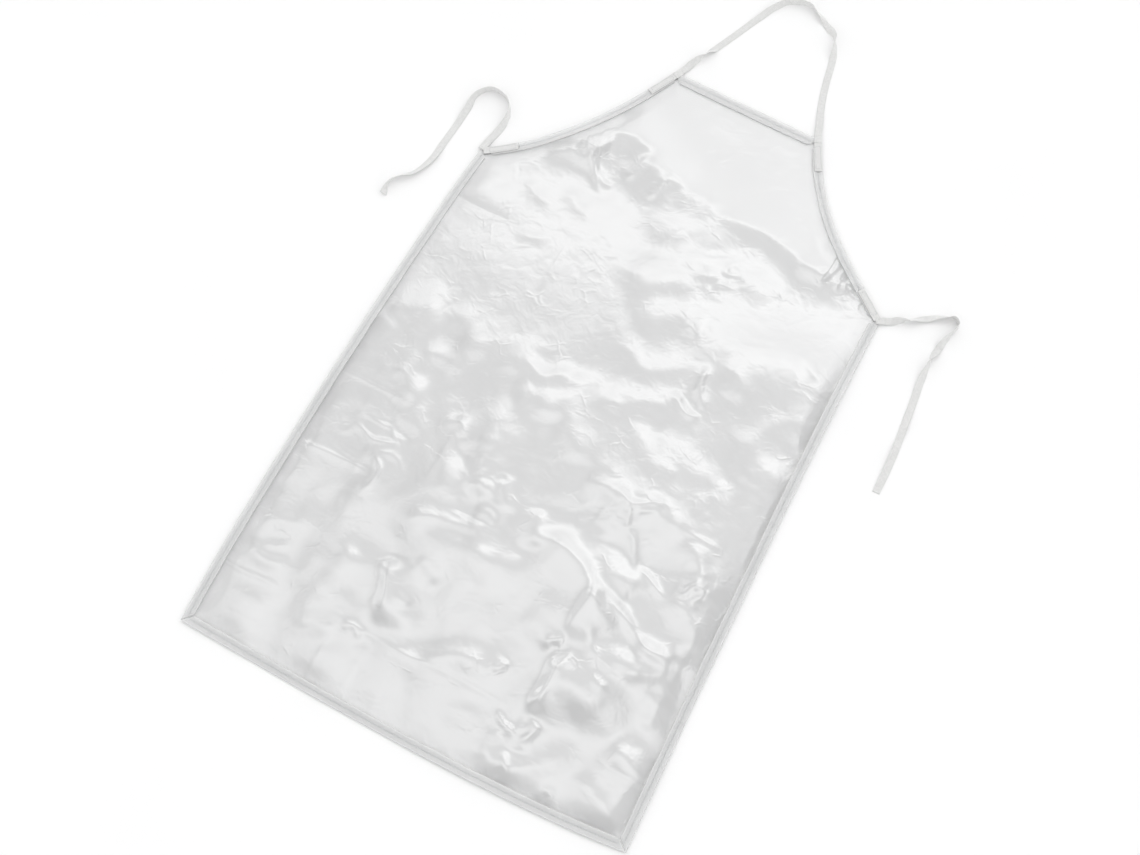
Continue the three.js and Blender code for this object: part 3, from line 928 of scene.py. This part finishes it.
@dataclass
class Relief:
    """How high the film stands over the surface it lies on, at each place.

    Attributes:
        rest: The film's usual height.
        lowest: Where it lies flat on the surface.
        edge_calm: How much of its relief is left along the stitched hems.
        edge_reach: How far in from the hems that calm reaches.
        groups: The wrinkles.
        outline: Points along the panel's edge.
        spacing: Of the raster on which the relief is surveyed once.
        corner: Where that raster starts.
        survey: The film's height at the raster's points.
    """

    rest: float = 2.7
    lowest: float = 0.35
    edge_calm: float = 0.6
    edge_reach: float = 42.0
    groups: tuple[tuple[Wrinkle, ...], ...] = (
        BIB_FOLD, LEFT_ARMHOLE_CRUMPLE, WAIST_CREASES, MIDDLE_CREASES, LEFT_CREASES,
        LOWER_CREASES, RIGHT_CREASES, UPRIGHT_CRUMPLE,
    )
    outline: Array = field(default_factory=lambda: np.vstack(
        [edge.points(14)[:-1] for edge in Edge]))
    spacing: float = 2.0
    corner: PlanPoint = (-390.0, -40.0)
    survey: Array = field(init=False)

    def __post_init__(self) -> None:
        """Survey the relief once, on a square raster that the pieces then read."""
        across = np.arange(self.corner[0], 390, self.spacing)
        up = np.arange(self.corner[1], 1200, self.spacing)
        self.survey = self.lie(*np.meshgrid(across, up, indexing="ij"))

    def height(self, x: Array, y: Array) -> Array:
        """The film's height at each place, read between the survey's points.

        Args:
            x: Across the apron.
            y: Up the apron.

        Returns:
            The height of the film's underside, in millimetres.
        """
        u, v = (
            np.clip((np.asarray(value) - start) / self.spacing, 0, count - 1.001)
            for value, start, count in zip((x, y), self.corner, self.survey.shape))
        i, j = u.astype(int), v.astype(int)
        fu, fv = u - i, v - j
        near = self.survey[i, j] * (1 - fu) + self.survey[i + 1, j] * fu
        far = self.survey[i, j + 1] * (1 - fu) + self.survey[i + 1, j + 1] * fu
        return near * (1 - fv) + far * fv

    def edge_distance(self, x: Array, y: Array) -> Array:
        """The distance from each place to the panel's edge."""
        closest = np.full(x.shape, np.inf)
        for start, end in zip(self.outline, np.roll(self.outline, -1, axis=0)):
            step = end - start
            share = np.clip(
                ((x - start[0]) * step[0] + (y - start[1]) * step[1]) / (step @ step), 0, 1)
            gap = np.hypot(x - start[0] - share * step[0], y - start[1] - share * step[1])
            closest = np.minimum(closest, gap)
        return closest

    def lie(self, x: Array, y: Array) -> Array:
        """Work out how high the film lies at each point of a square raster, in millimetres.

        Args:
            x: Across the apron.
            y: Up the apron.

        Returns:
            The height of the film's underside.
        """
        # The noise is read at places that wander, so that its lattices don't show.
        warp_x = x + 24 * lattice_noise(x, y, 105, 11)
        warp_y = y + 24 * lattice_noise(x, y, 105, 12)
        slack = 0.22 + 0.78 * smooth_step((760 - y) / 260)
        rumple = 0.18 + 0.82 * smooth_step((720 - y) / 260)
        lift = 1.9 * lattice_noise(warp_x, warp_y, 210, 3) * slack
        lift += 1.2 * lattice_noise(warp_x, warp_y, 96, 4) * slack
        lift += 0.6 * lattice_noise(warp_x, warp_y, 47, 5) * slack * rumple
        lift += 0.3 * lattice_noise(warp_x, warp_y, 24, 6) * rumple
        drape = lattice_noise(warp_x + 0.28 * warp_y, warp_y / 3.4, 42, 7)
        lift += 2.2 * drape * smooth_step((700 - y) / 300) * smooth_step((120 - x) / 260)
        for crest in Crest:
            raised = sum(
                (wrinkle.raise_film(x, y) for group in self.groups for wrinkle in group
                 if wrinkle.crest is crest), np.zeros_like(x))
            lift += rounded(raised, crest.rounding / self.spacing)
        for number, patch in enumerate(CRUMPLED_PATCHES):
            gap = np.hypot(x - patch.middle[0], y - patch.middle[1]) / patch.reach
            fine = 1 - 2.2 * np.abs(lattice_noise(warp_x, warp_y, 22, 20 + number))
            lift += 0.6 * patch.height * np.clip(fine, 0, 1) * np.exp(-(gap**2))
        edge = smooth_step(self.edge_distance(x, y) / self.edge_reach)
        lift *= self.edge_calm + (1 - self.edge_calm) * edge
        for wrinkle in PACKET_CREASES:
            lift += wrinkle.raise_film(x, y)
        over = self.rest * (0.5 + 0.5 * edge) + lift - self.lowest
        return self.lowest + 0.5 * (over + np.sqrt(over**2 + 1.6))

    def under(self, line: Array, lift: Array | float) -> Array:
        """Rows of x, y raised to stand at lift over the film."""
        height = self.height(line[..., 0], line[..., 1]) + lift
        return np.concatenate([line, height[..., None]], axis=-1)


# ---- Sub-assemblies -----------------------------------------------------------------------


@dataclass
class FilmPanel:
    """The apron's one sheet of film, from hem to hem.

    Attributes:
        relief: How it lies.
        finish: Its material.
        columns: Vertices across.
        side_rows: Rows of vertices up the straight sides.
        armhole_rows: Rows from the waist to the bib.
    """

    relief: Relief
    finish: bpy.types.Material
    columns: int = 226
    side_rows: int = 292
    armhole_rows: int = 100

    def plan(self) -> Array:
        """The vertices' places, as rows across the panel from the bottom to the bib."""
        left = np.vstack([
            Edge.LEFT_SIDE.points(self.side_rows)[::-1],
            Edge.LEFT_ARMHOLE.points(self.armhole_rows)[::-1][1:]])
        right = np.vstack([
            Edge.RIGHT_SIDE.points(self.side_rows),
            Edge.RIGHT_ARMHOLE.points(self.armhole_rows)[1:]])
        share = np.linspace(0, 1, self.columns)[None, :, None]
        sheet = left[:, None] * (1 - share) + right[:, None] * share
        bottom = Edge.BOTTOM.points(self.columns) - sheet[0]
        fade = (1 - np.linspace(0, 1, len(left)))[:, None, None] ** 4
        return sheet + bottom[None] * fade

    def build(self) -> bpy.types.Object:
        plan = self.plan()
        rows, columns = plan.shape[:2]
        places = in_frame(self.relief.under(plan, 0.0)).reshape(-1, 3)
        panel = mesh_piece("film_sheet", places, grid_faces(rows, columns), self.finish)
        return finish_piece(panel, ["film_panel"])


@dataclass
class Hem:
    """One edge's margin, turned over twice and pressed flat, with its row of stitches.

    Attributes:
        edge: The edge it runs along.
        relief: How the film under it lies.
        film: The material of the turned film.
        thread: The material of the stitches.
        thickness: Of the turned film.
        lift: Its underside over the film that it lies on.
        stitch: The length of one stitch.
        gap: From one stitch to the next.
        thread_width: Of the thread, drawn heavier than the real 0.4 mm so that it shows.
    """

    edge: Edge
    relief: Relief
    film: bpy.types.Material
    thread: bpy.types.Material
    thickness: float = 1.0
    lift: float = 0.5
    stitch: float = 3.0
    gap: float = 1.3
    thread_width: float = 0.9

    def top(self, distance: Array, depth: Array) -> Array:
        """Places on the hem's upper face, which dips along the stitches.

        Args:
            distance: Along the edge.
            depth: In from the edge.

        Returns:
            Rows of x, y, z.
        """
        plan = self.edge.inset(distance, depth)
        middle = self.edge.hem_width / 2
        dip = 0.35 * np.exp(-((np.asarray(depth) - middle) / 1.6) ** 2)
        pucker = 0.16 * np.sin(distance * 2 * math.pi / (2 * (self.stitch + self.gap)))
        pucker = pucker + 0.22 * lattice_noise(plan[..., 0], plan[..., 1], 9, 40)
        return self.relief.under(plan, self.lift + self.thickness - dip + pucker)

    def build_film(self) -> bpy.types.Object:
        """Make the turned film: a flattened tube with a round fold at its outer edge."""
        width = self.edge.hem_width
        length = self.edge.length()
        stations = np.linspace(0, length, max(int(length / 3.2), 2) + 1)
        shares = np.array([0.0, 0.04, 0.12, 0.3, 0.43, 0.5, 0.57, 0.7, 0.9, 1.0])
        bulge = np.array([0.5, 0.85, 1.0, 1.0, 1.0, 1.0, 1.0, 1.0, 0.9, 0.45])
        wander = 0.5 * lattice_noise(stations, np.full(len(stations), width), 30, 41)
        depth = shares[None, :] * (width + wander)[:, None]
        # At a mitre the inner side of the margin is shorter than the outer side.
        near_corner = np.minimum(stations, length - stations)
        mitre = smooth_step(1 - near_corner / 22.0) * (1 - 2 * stations / length)
        upper = self.top(stations[:, None] + depth * mitre[:, None], depth)
        floor = self.relief.height(upper[..., 0], upper[..., 1]) + self.lift
        middle = (upper[..., 2] + floor) / 2
        under = upper.copy()
        upper[..., 2] = middle + (upper[..., 2] - middle) * bulge
        under[..., 2] = middle - (middle - floor) * bulge
        around = 2 * len(shares)
        places = in_frame(np.concatenate([upper, under[:, ::-1]], axis=1)).reshape(-1, 3)
        piece = mesh_piece(
            f"turned_hem_{self.edge.label}", places, tube_faces(len(stations), around), self.film)
        return finish_piece(piece, [f"hem_{self.edge.label}"])

    def build_stitches(self) -> bpy.types.Object:
        """Make the row of stitches along the hem's middle."""
        length = self.edge.length()
        start = 10.0
        pitch = self.stitch + self.gap
        count = int((length - 2 * start) / pitch)
        row = StitchRow(self.stitch, self.thread_width)
        middle = self.edge.hem_width / 2
        starts = start + pitch * np.arange(count)
        along = starts[:, None] + np.linspace(0, self.stitch, 4)[None, :]
        for line in self.top(along, np.full(along.shape, middle)):
            row.add(line)
        piece = row.build(f"stitches_{self.edge.label}", self.thread)
        return finish_piece(piece, [f"hem_stitching_{self.edge.label}"])


@dataclass
class StitchRow:
    """Stitches, each a short thread that dives into the film at both ends.

    Attributes:
        length: Of one stitch. Not used.
        width: Of its thread.
        vertices: The rings made so far.
        faces: Their faces.
    """

    length: float
    width: float
    vertices: list[Array] = field(default_factory=list)
    faces: list[list[int]] = field(default_factory=list)

    def add(self, line: Array) -> None:
        """Add one stitch that follows a short line on the cloth.

        Args:
            line: Rows of x, y, z in millimetres.
        """
        around = 6
        run = np.gradient(line, axis=0)
        run /= np.linalg.norm(run, axis=1)[:, None]
        aside = np.stack([-run[:, 1], run[:, 0], np.zeros(len(run))], axis=1)
        swell = np.array([0.35, 1.0, 1.0, 0.35]) * self.width / 2
        sink = np.array([-0.25, 0.12, 0.12, -0.25])
        turn = np.arange(around) * 2 * math.pi / around
        rings = [
            line[i] + aside[i] * swell[i] * np.cos(turn)[:, None]
            + np.array([0, 0, 1.0]) * (sink[i] + 0.7 * swell[i] * np.sin(turn))[:, None]
            for i in range(len(line))
        ]
        first = sum(len(v) for v in self.vertices)
        self.faces += [[first + i for i in face[::-1]] for face in tube_faces(len(line), around)]
        self.vertices.append(np.vstack(rings))

    def build(self, name: str, thread: bpy.types.Material) -> bpy.types.Object:
        """Make the row's object."""
        return mesh_piece(name, in_frame(np.vstack(self.vertices)), self.faces, thread)


# Each row is x, y, lift, roll: lift is how far the tape is held up from where it would lie, and
# roll turns its face about its run, in degrees.
TapeRow = tuple[float, float, float, float]

NECK_ROUTE: tuple[TapeRow, ...] = (
    (-128.5, 1168.5, SEWN_LIFT, 0), (-124, 1181, 1.6, 0), (-116, 1199, 0.4, 40),
    (-107, 1218, 0, 120), (-97, 1241, 0, 180), (-78, 1286, 0, 180), (-59, 1331, 0, 188),
    (-45, 1359, 0, 222), (-24, 1382, 0, 250), (4, 1389, 0, 262), (30, 1379, 0, 318),
    (50, 1364, 0, 372), (68, 1350, 0, 425), (78, 1328, 0, 495), (85, 1301, 0, 540),
    (93, 1258, 0, 540), (103, 1217, 0, 540), (115, 1181, 1.4, 540), (123, 1155.5, SEWN_LIFT, 540),
)
LEFT_TIE_ROUTE: tuple[TapeRow, ...] = (
    (-348, 898, SEWN_LIFT, 0), (-345.5, 912, 1.2, 0), (-341, 936, 0, 12), (-340, 957, 0, 60),
    (-346, 977, 0, 84), (-363, 992, 0, 90), (-390, 994, 0, 90), (-406, 974, 0, 110),
    (-407, 944, 0, 158), (-408, 905, 0, 180), (-410, 866, 0, 180), (-412, 832, 0, 200),
    (-424, 797, 0, 212), (-442, 779, 0, 238), (-450, 762, 0, 262), (-448, 740, 0, 328),
)
RIGHT_TIE_ROUTE: tuple[TapeRow, ...] = (
    (347.5, 892.5, SEWN_LIFT, 0), (357, 896.5, 1.4, 8), (369, 903, 0.4, 60), (383, 912, 0, 130),
    (405, 927, 0, 168), (428, 941, 0, 128), (443, 946, 0, 96), (452, 938, 0, 90),
    (449, 921, 0, 92), (443, 903, 0, 130), (438, 878, 0, 200), (436, 852, 0, 300),
    (436, 826, 0, 350), (439, 790, 0, 360), (442, 745, 0, 372), (446, 693, 0, 348),
    (446, 627, 0, 360),
)


@dataclass
class FreeTape:
    """A free length of the woven tape, twisted along its route, as one limp cord.

    Attributes:
        name: The piece's name.
        node: The CAD node it stands for.
        body: The body meant to carry it. Not used.
        route: The rows that its middle line passes.
        finish: Its material.
        far_end: What its far end is.
        steps: Its rings of vertices.
        free_beyond: For a tie, the plan step from its root past which all the rest of it lies,
            also where it doubles back. Not used.
    """

    name: str
    node: str
    body: str
    route: tuple[TapeRow, ...]
    finish: bpy.types.Material
    far_end: str
    steps: int
    free_beyond: PlanPoint = (0.0, 0.0)

    def middle_line(self) -> tuple[Array, Array]:
        """The tape's middle line, and its roll at each point.

        Returns:
            Rows of x, y, z in millimetres, spread evenly, and the rolls in radians.
        """
        rows = np.array(self.route, float)
        knots = rows[:, :3] + [0, 0, REST_CLEARANCE]
        rolls = np.radians(rows[:, 3])
        shares = np.linspace(0, 1, 1500)
        place = passing(knots, shares)
        position = shares * (len(rows) - 1)
        row = np.minimum(position.astype(int), len(rows) - 2)
        blend = smooth_step(position - row)
        roll = rolls[row] * (1 - blend) + rolls[row + 1] * blend
        standing = TAPE_WIDTH * np.abs(np.sin(roll)) + TAPE_THICKNESS * np.abs(np.cos(roll))
        place[:, 2] += standing / 2
        steps = np.linalg.norm(np.diff(place, axis=0), axis=1)
        walked = np.concatenate([[0], np.cumsum(steps)])
        wanted = np.linspace(0, walked[-1], self.steps)
        line = np.stack([np.interp(wanted, walked, column) for column in place.T], axis=1)
        return line, np.interp(wanted, walked, roll)

    def section(self, number: int) -> tuple[Array, Array]:
        """One ring's offsets across the tape and through it: a thin lens with firm edges.

        Args:
            number: Which ring, so that the selvedges wander a little.

        Returns:
            Offsets along the width, and along the thickness.
        """
        share = np.array([-1, -0.97, -0.72, -0.36, 0, 0.36, 0.72, 0.97, 1.0])
        half = TAPE_THICKNESS / 2
        thick = half * np.array([0.35, 0.85, 0.8, 0.95, 0.85, 0.95, 0.8, 0.85, 0.35])
        wander = lattice_noise(np.array([number * 2.0]), np.array([10.0]), 14, 50)[0]
        width = share * (TAPE_WIDTH / 2 - 0.15 + 0.15 * wander)
        cup = 0.35 * wander * (share**2 - 0.5)
        depth = np.concatenate([cup - thick, (cup + thick)[::-1]])
        return np.concatenate([width, width[::-1]]), depth

    def build(self) -> bpy.types.Object:
        line, rolls = self.middle_line()
        run = np.gradient(line, axis=0)
        run /= np.linalg.norm(run, axis=1)[:, None]
        rings, surface = [], []
        spacing = line_length(line) / (len(line) - 1)
        for number, (place, along, roll) in enumerate(zip(line, run, rolls)):
            tangent = Vector(along)
            aside = Vector((-along[1], along[0], 0)).normalized()
            width = Matrix.Rotation(roll, 3, tangent) @ aside
            through = tangent.cross(width)
            across, up = self.section(number)
            ring = place + np.outer(across, np.array(width)) + np.outer(up, np.array(through))
            rings.append(ring)
            surface.append(np.stack([np.full(len(across), number * spacing), across], axis=1))
        around = len(rings[0])
        piece = mesh_piece(
            self.name, in_frame(np.vstack(rings)), tube_faces(len(line), around),
            self.finish, np.vstack(surface) * MM)
        path = in_frame(line)
        finish_piece(piece, [self.node], body=None)
        self.bend(piece, line)
        return piece

    def bend(self, piece: bpy.types.Object, line: Array) -> None:
        """Bake the tape's transform into its mesh. For a loop it also works out a hinge and a
        start beside it from the middle line, which are then not used.

        Args:
            piece: The tape's object.
            line: Its middle line, in millimetres.
        """
        start = in_frame(line[0])
        if self.far_end == "object":
            hinge = in_frame(line[-1])
            side = np.array([hinge[1] - start[1], start[0] - hinge[0], 0.0])
            side /= -np.linalg.norm(side)
            start = (start + hinge) / 2
            start = start - side * 0.002
        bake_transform(piece)


class SewnPlace(Enum):
    """Where a tape's end is sewn on.

    Each has its edge, whether it is at that edge's far end, and the two plan points between
    which the tape turns from the hem into its free length.
    """

    NECK_LEFT = (Edge.LEFT_ARMHOLE, False, ((-133.5, 1156.0), (-127.6, 1171.0)))
    NECK_RIGHT = (Edge.RIGHT_ARMHOLE, True, ((128.0, 1143.0), (122.4, 1158.0)))
    TIE_LEFT = (Edge.LEFT_ARMHOLE, True, ((-348.6, 884.5), (-347.5, 900.5)))
    TIE_RIGHT = (Edge.RIGHT_ARMHOLE, False, ((336.0, 887.5), (350.0, 893.6)))


def flat_ribbon(
    name: str, upper: Array, bulge: Array, stations: Array, across: Array,
    tape: bpy.types.Material, flip: bool,
) -> bpy.types.Object:
    """Make a flat length of tape from the rows of its upper face.

    Args:
        name: The piece's name.
        upper: Its upper face, station by station, each from one selvedge to the other.
        bulge: How much of the tape's thickness each row of points has.
        stations: How far along the tape each station is.
        across: How far across it each point is.
        tape: Its material.
        flip: Whether its stations run the other way round.

    Returns:
        The object.
    """
    middle = upper[..., 2] - TAPE_THICKNESS / 2
    lower = upper.copy()
    upper = upper.copy()
    upper[..., 2] = middle + TAPE_THICKNESS / 2 * bulge
    lower[..., 2] = middle - TAPE_THICKNESS / 2 * bulge
    rings = np.concatenate([upper, lower[:, ::-1]], axis=1)
    around = rings.shape[1]
    faces = tube_faces(len(stations), around)
    if flip:
        faces = [face[::-1] for face in faces]
    both = np.concatenate([across, across[::-1]])
    surface = np.stack(np.broadcast_arrays(stations[:, None], both[None, :]), axis=-1)
    return mesh_piece(
        name, in_frame(rings).reshape(-1, 3), faces, tape, surface.reshape(-1, 2) * MM)


@dataclass
class SewnEnd:
    """A tape's end, sewn flat along an armhole hem with a box of stitches.

    Attributes:
        place: Where it is.
        relief: How the film under it lies.
        tape: The tape's material.
        thread: The thread's material.
        lift: The tape's underside over the film.
    """

    place: SewnPlace
    relief: Relief
    tape: bpy.types.Material
    thread: bpy.types.Material
    lift: float = 1.75

    def on_tape(self, distance: Array, depth: Array, extra: float = 0.0) -> Array:
        """Places on the tape's upper face.

        Args:
            distance: Back from the corner.
            depth: In from the armhole's edge.
            extra: How far above the face.

        Returns:
            Rows of x, y, z.
        """
        edge, at_end, _ = self.place.value
        along = edge.length() - distance if at_end else distance
        plan = edge.inset(np.asarray(along, float), depth)
        return self.relief.under(plan, self.lift + TAPE_THICKNESS + extra)

    def build_tape(self) -> bpy.types.Object:
        """Make the sewn tape, from its cut end to the corner where it comes free."""
        stations = np.linspace(SEWN_LENGTH, 1.0, 30)
        share = np.array([0.0, 0.03, 0.14, 0.34, 0.5, 0.66, 0.86, 0.97, 1.0])
        bulge = np.array([0.3, 0.85, 0.9, 1.0, 1.0, 1.0, 0.9, 0.85, 0.3])
        depth = np.repeat(share[None, :] * TAPE_WIDTH, len(stations), axis=0)
        distance = np.repeat(stations[:, None], len(share), axis=1)
        distance[0] += 0.7 * np.sin(share * 25)  # the cut end is a little ragged
        upper = self.on_tape(distance, depth)
        across = (share - 0.5) * TAPE_WIDTH
        label = self.place.name.lower()
        piece = flat_ribbon(
            f"sewn_tape_{label}", upper, bulge, stations, across, self.tape, self.place.value[1])
        return finish_piece(piece, [f"tape_end_{label}"])

    def build_turn(self) -> bpy.types.Object:
        """Make the short turn of tape between the sewn end and the free tape."""
        start, end = (np.array(p, float) for p in self.place.value[2])
        steps = np.linspace(0, 1, 7)
        share = np.linspace(0, 1, 9)
        bulge = np.array([0.3, 0.85, 0.9, 1.0, 1.0, 1.0, 0.9, 0.85, 0.3])
        run = (end - start) / np.linalg.norm(end - start)
        aside = np.array([run[1], -run[0]])
        across = (share - 0.5) * TAPE_WIDTH
        plan = (start + (end - start) * steps[:, None])[:, None] + across[None, :, None] * aside
        upper = self.relief.under(plan, self.lift + TAPE_THICKNESS + 0.25)
        free_top = SEWN_LIFT + REST_CLEARANCE + TAPE_THICKNESS + 0.12
        upper[..., 2] += (free_top - upper[..., 2]) * smooth_step(steps * 1.3)[:, None]
        label = self.place.name.lower()
        stations = steps * float(np.linalg.norm(end - start))
        piece = flat_ribbon(
            f"tape_turn_{label}", upper, bulge, stations, across, self.tape, True)
        return finish_piece(piece, [])

    def build_stitches(self) -> bpy.types.Object:
        """Make the box of stitches just inside the tape's edges."""
        near, far, inset = 11.0, SEWN_LENGTH - 5.0, 2.0
        box = np.array([
            (near, inset), (far, inset), (far, TAPE_WIDTH - inset),
            (near, TAPE_WIDTH - inset), (near, inset)])
        ring = evenly(box, int(line_length(box) / 0.8))
        row = StitchRow(2.4, 0.8)
        starts = np.arange(0, len(ring) - 4, 5)
        places = ring[starts[:, None] + np.arange(4)[None, :]]
        for line in self.on_tape(places[..., 0], places[..., 1]):
            row.add(line)
        label = self.place.name.lower()
        piece = row.build(f"box_stitches_{label}", self.thread)
        return finish_piece(piece, [f"tape_stitching_{label}"])


@dataclass
class Studio:
    """The floor, the soft light round it and the camera.

    Attributes:
        floor_width: Of the pale floor, in metres.
        tilt: How far the camera leans from straight down, in radians.
        heading: How far it is turned about the upright, in radians.
        distance: From the camera to what it looks at, in metres.
        target: What it looks at, in the part's frame.
        strength: Of all the light.
        lengthways: How bright the air is, from the bottom hem's side round to the bib's.
        crossways: How that changes from the left side round to the right.
    """

    floor_width: float = 9.0
    tilt: float = 0.41803
    heading: float = 0.47513
    distance: float = 2.35293
    target: tuple[float, float, float] = (0.0072, -0.0632, 0.0)
    strength: float = 1.26
    lengthways: tuple[PlanPoint, ...] = (
        (-2.0, 1.2), (-1.0, 1.1), (-0.5, 1.1), (-0.34, 0.25), (-0.14, 0.1), (-0.03, 0.55),
        (0.06, 1.05), (0.12, 1.25), (0.19, 1.26), (0.26, 1.08), (0.32, 0.8), (0.36, 0.7),
        (0.43, 0.83), (0.495, 1.33), (0.54, 1.8), (0.62, 1.6), (0.72, 1.36), (0.95, 1.55),
        (1.4, 1.5), (2.0, 1.4),
    )
    crossways: tuple[PlanPoint, ...] = (
        (-2.0, 0.9), (-1.0, 0.9), (-0.8, 0.95), (-0.55, 0.55), (-0.4, 0.85), (-0.29, 1.02),
        (-0.02, 1.12), (0.06, 0.95), (0.16, 0.4), (0.3, 0.35), (0.5, 1.1), (0.8, 0.9),
        (2.0, 0.9),
    )

    def camera(self) -> None:
        """Stand the camera over the apron's bottom right, looking down at its middle."""
        data = bpy.data.cameras.new("camera")
        data.lens = 50
        data.sensor_width = 36
        data.clip_end = 50
        camera = bpy.data.objects.new("camera", data)
        across = Vector((math.cos(self.heading), math.sin(self.heading), 0))
        away = Vector((-math.sin(self.heading), math.cos(self.heading), 0))
        ahead = away * math.sin(self.tilt) - Vector((0, 0, math.cos(self.tilt)))
        up = away * math.cos(self.tilt) + Vector((0, 0, math.sin(self.tilt)))
        turn = Matrix((across, up, -ahead)).transposed().to_4x4()
        stand = Vector(self.target) - ahead * self.distance
        camera.matrix_world = Matrix.Translation(stand) @ turn
        bpy.context.scene.collection.objects.link(camera)
        bpy.context.scene.camera = camera

    def build(self) -> None:
        """Lay the floor and set the light from all round it."""
        scene = bpy.context.scene
        scene.view_settings.view_transform = "Standard"
        half = self.floor_width / 2
        corners = [(-half, -half, 0), (half, -half, 0), (half, half, 0), (-half, half, 0)]
        floor = mesh_piece("floor", np.array(corners), [[0, 1, 2, 3]], PaintedFloor().make())
        self.sky(scene)

    def sky(self, scene: bpy.types.Scene) -> None:
        """Set soft light from all round, with broad diffusers overhead.

        The diffusers run across the apron. Each ramp stop is a slope of the light's direction,
        from -2 to 2, with how bright it is there.

        Args:
            scene: The scene to light.
        """
        world = bpy.data.worlds.new("studio_air")
        world.use_nodes = True
        tree = world.node_tree
        tree.nodes.clear()
        toward = add_node(tree, "ShaderNodeTexCoord").outputs["Generated"]
        split = add_node(tree, "ShaderNodeSeparateXYZ", {"Vector": toward})
        rise = add_node(tree, "ShaderNodeMath", {
            0: split.outputs["Z"], 1: 0.05}, operation="MAXIMUM")
        levels = []
        for axis, stops in (("Y", self.lengthways), ("X", self.crossways)):
            slope = add_node(tree, "ShaderNodeMath", {
                0: split.outputs[axis], 1: rise.outputs[0]}, operation="DIVIDE")
            place = add_node(tree, "ShaderNodeMapRange", {
                "Value": slope.outputs[0], "From Min": -2.0, "From Max": 2.0})
            ramp = add_node(tree, "ShaderNodeValToRGB", {"Fac": place.outputs["Result"]})
            ramp.color_ramp.interpolation = "EASE"
            elements = ramp.color_ramp.elements
            elements.remove(elements[1])
            for number, (at, level) in enumerate(stops):
                element = elements[0] if number == 0 else elements.new((at + 2) / 4)
                element.position = (at + 2) / 4
                element.color = (*[level / RAMP_TOP] * 3, 1.0)
            levels.append(ramp.outputs["Color"])
        together = add_node(tree, "ShaderNodeMix", {
            "Factor": 1.0, 6: levels[0], 7: levels[1]},
            data_type="RGBA", blend_type="MULTIPLY")
        # Low down, the air is plain and pale all the way round.
        high = add_node(tree, "ShaderNodeMapRange", {
            "Value": split.outputs["Z"], "From Min": 0.2, "From Max": 0.5},
            interpolation_type="SMOOTHSTEP")
        over = add_node(tree, "ShaderNodeMix", {
            "Factor": high.outputs["Result"], 6: (*[1 / RAMP_TOP**2] * 3, 1.0),
            7: together.outputs[2]}, data_type="RGBA")
        air = add_node(tree, "ShaderNodeBackground", {
            "Color": over.outputs[2], "Strength": self.strength * RAMP_TOP**2})
        add_node(tree, "ShaderNodeOutputWorld", {"Surface": air.outputs[0]})
        scene.world = world


def main() -> None:
    """Build the apron: camera and free tapes first, then the film, its hems and the studio."""
    logging.basicConfig(level=logging.INFO, format="%(name)s: %(message)s")
    studio = Studio()
    studio.camera()
    tape = WovenTape().make()
    thread = SewingThread().make()
    FreeTape("neck_tape_loop", "neck_loop", "neck_tape", NECK_ROUTE, tape, "object", 290).build()
    FreeTape(
        "left_tie_tape", "waist_tie_left", "left_tie", LEFT_TIE_ROUTE, tape, "bare", 210,
        free_beyond=(-15.5, 7.0)).build()
    FreeTape(
        "right_tie_tape", "waist_tie_right", "right_tie", RIGHT_TIE_ROUTE, tape, "bare", 220,
        free_beyond=(28.0, 0.0)).build()
    relief = Relief()
    FilmPanel(relief, ClearFilm().make()).build()
    turned = ClearFilm(
        name="turned_pvc_hem", body="e9eaea", haze="f1f1f1", cover=0.42, edge_cover=0.88,
        mirror_ior=1.7, roughness=0.24, bump=0.4, crinkle=0.0).make()
    for edge in Edge:
        hem = Hem(edge, relief, turned, thread)
        hem.build_film()
        hem.build_stitches()
    for place in SewnPlace:
        end = SewnEnd(place, relief, tape, thread)
        end.build_tape()
        end.build_turn()
        end.build_stitches()
    studio.build()


if __name__ == "__main__":
    main()
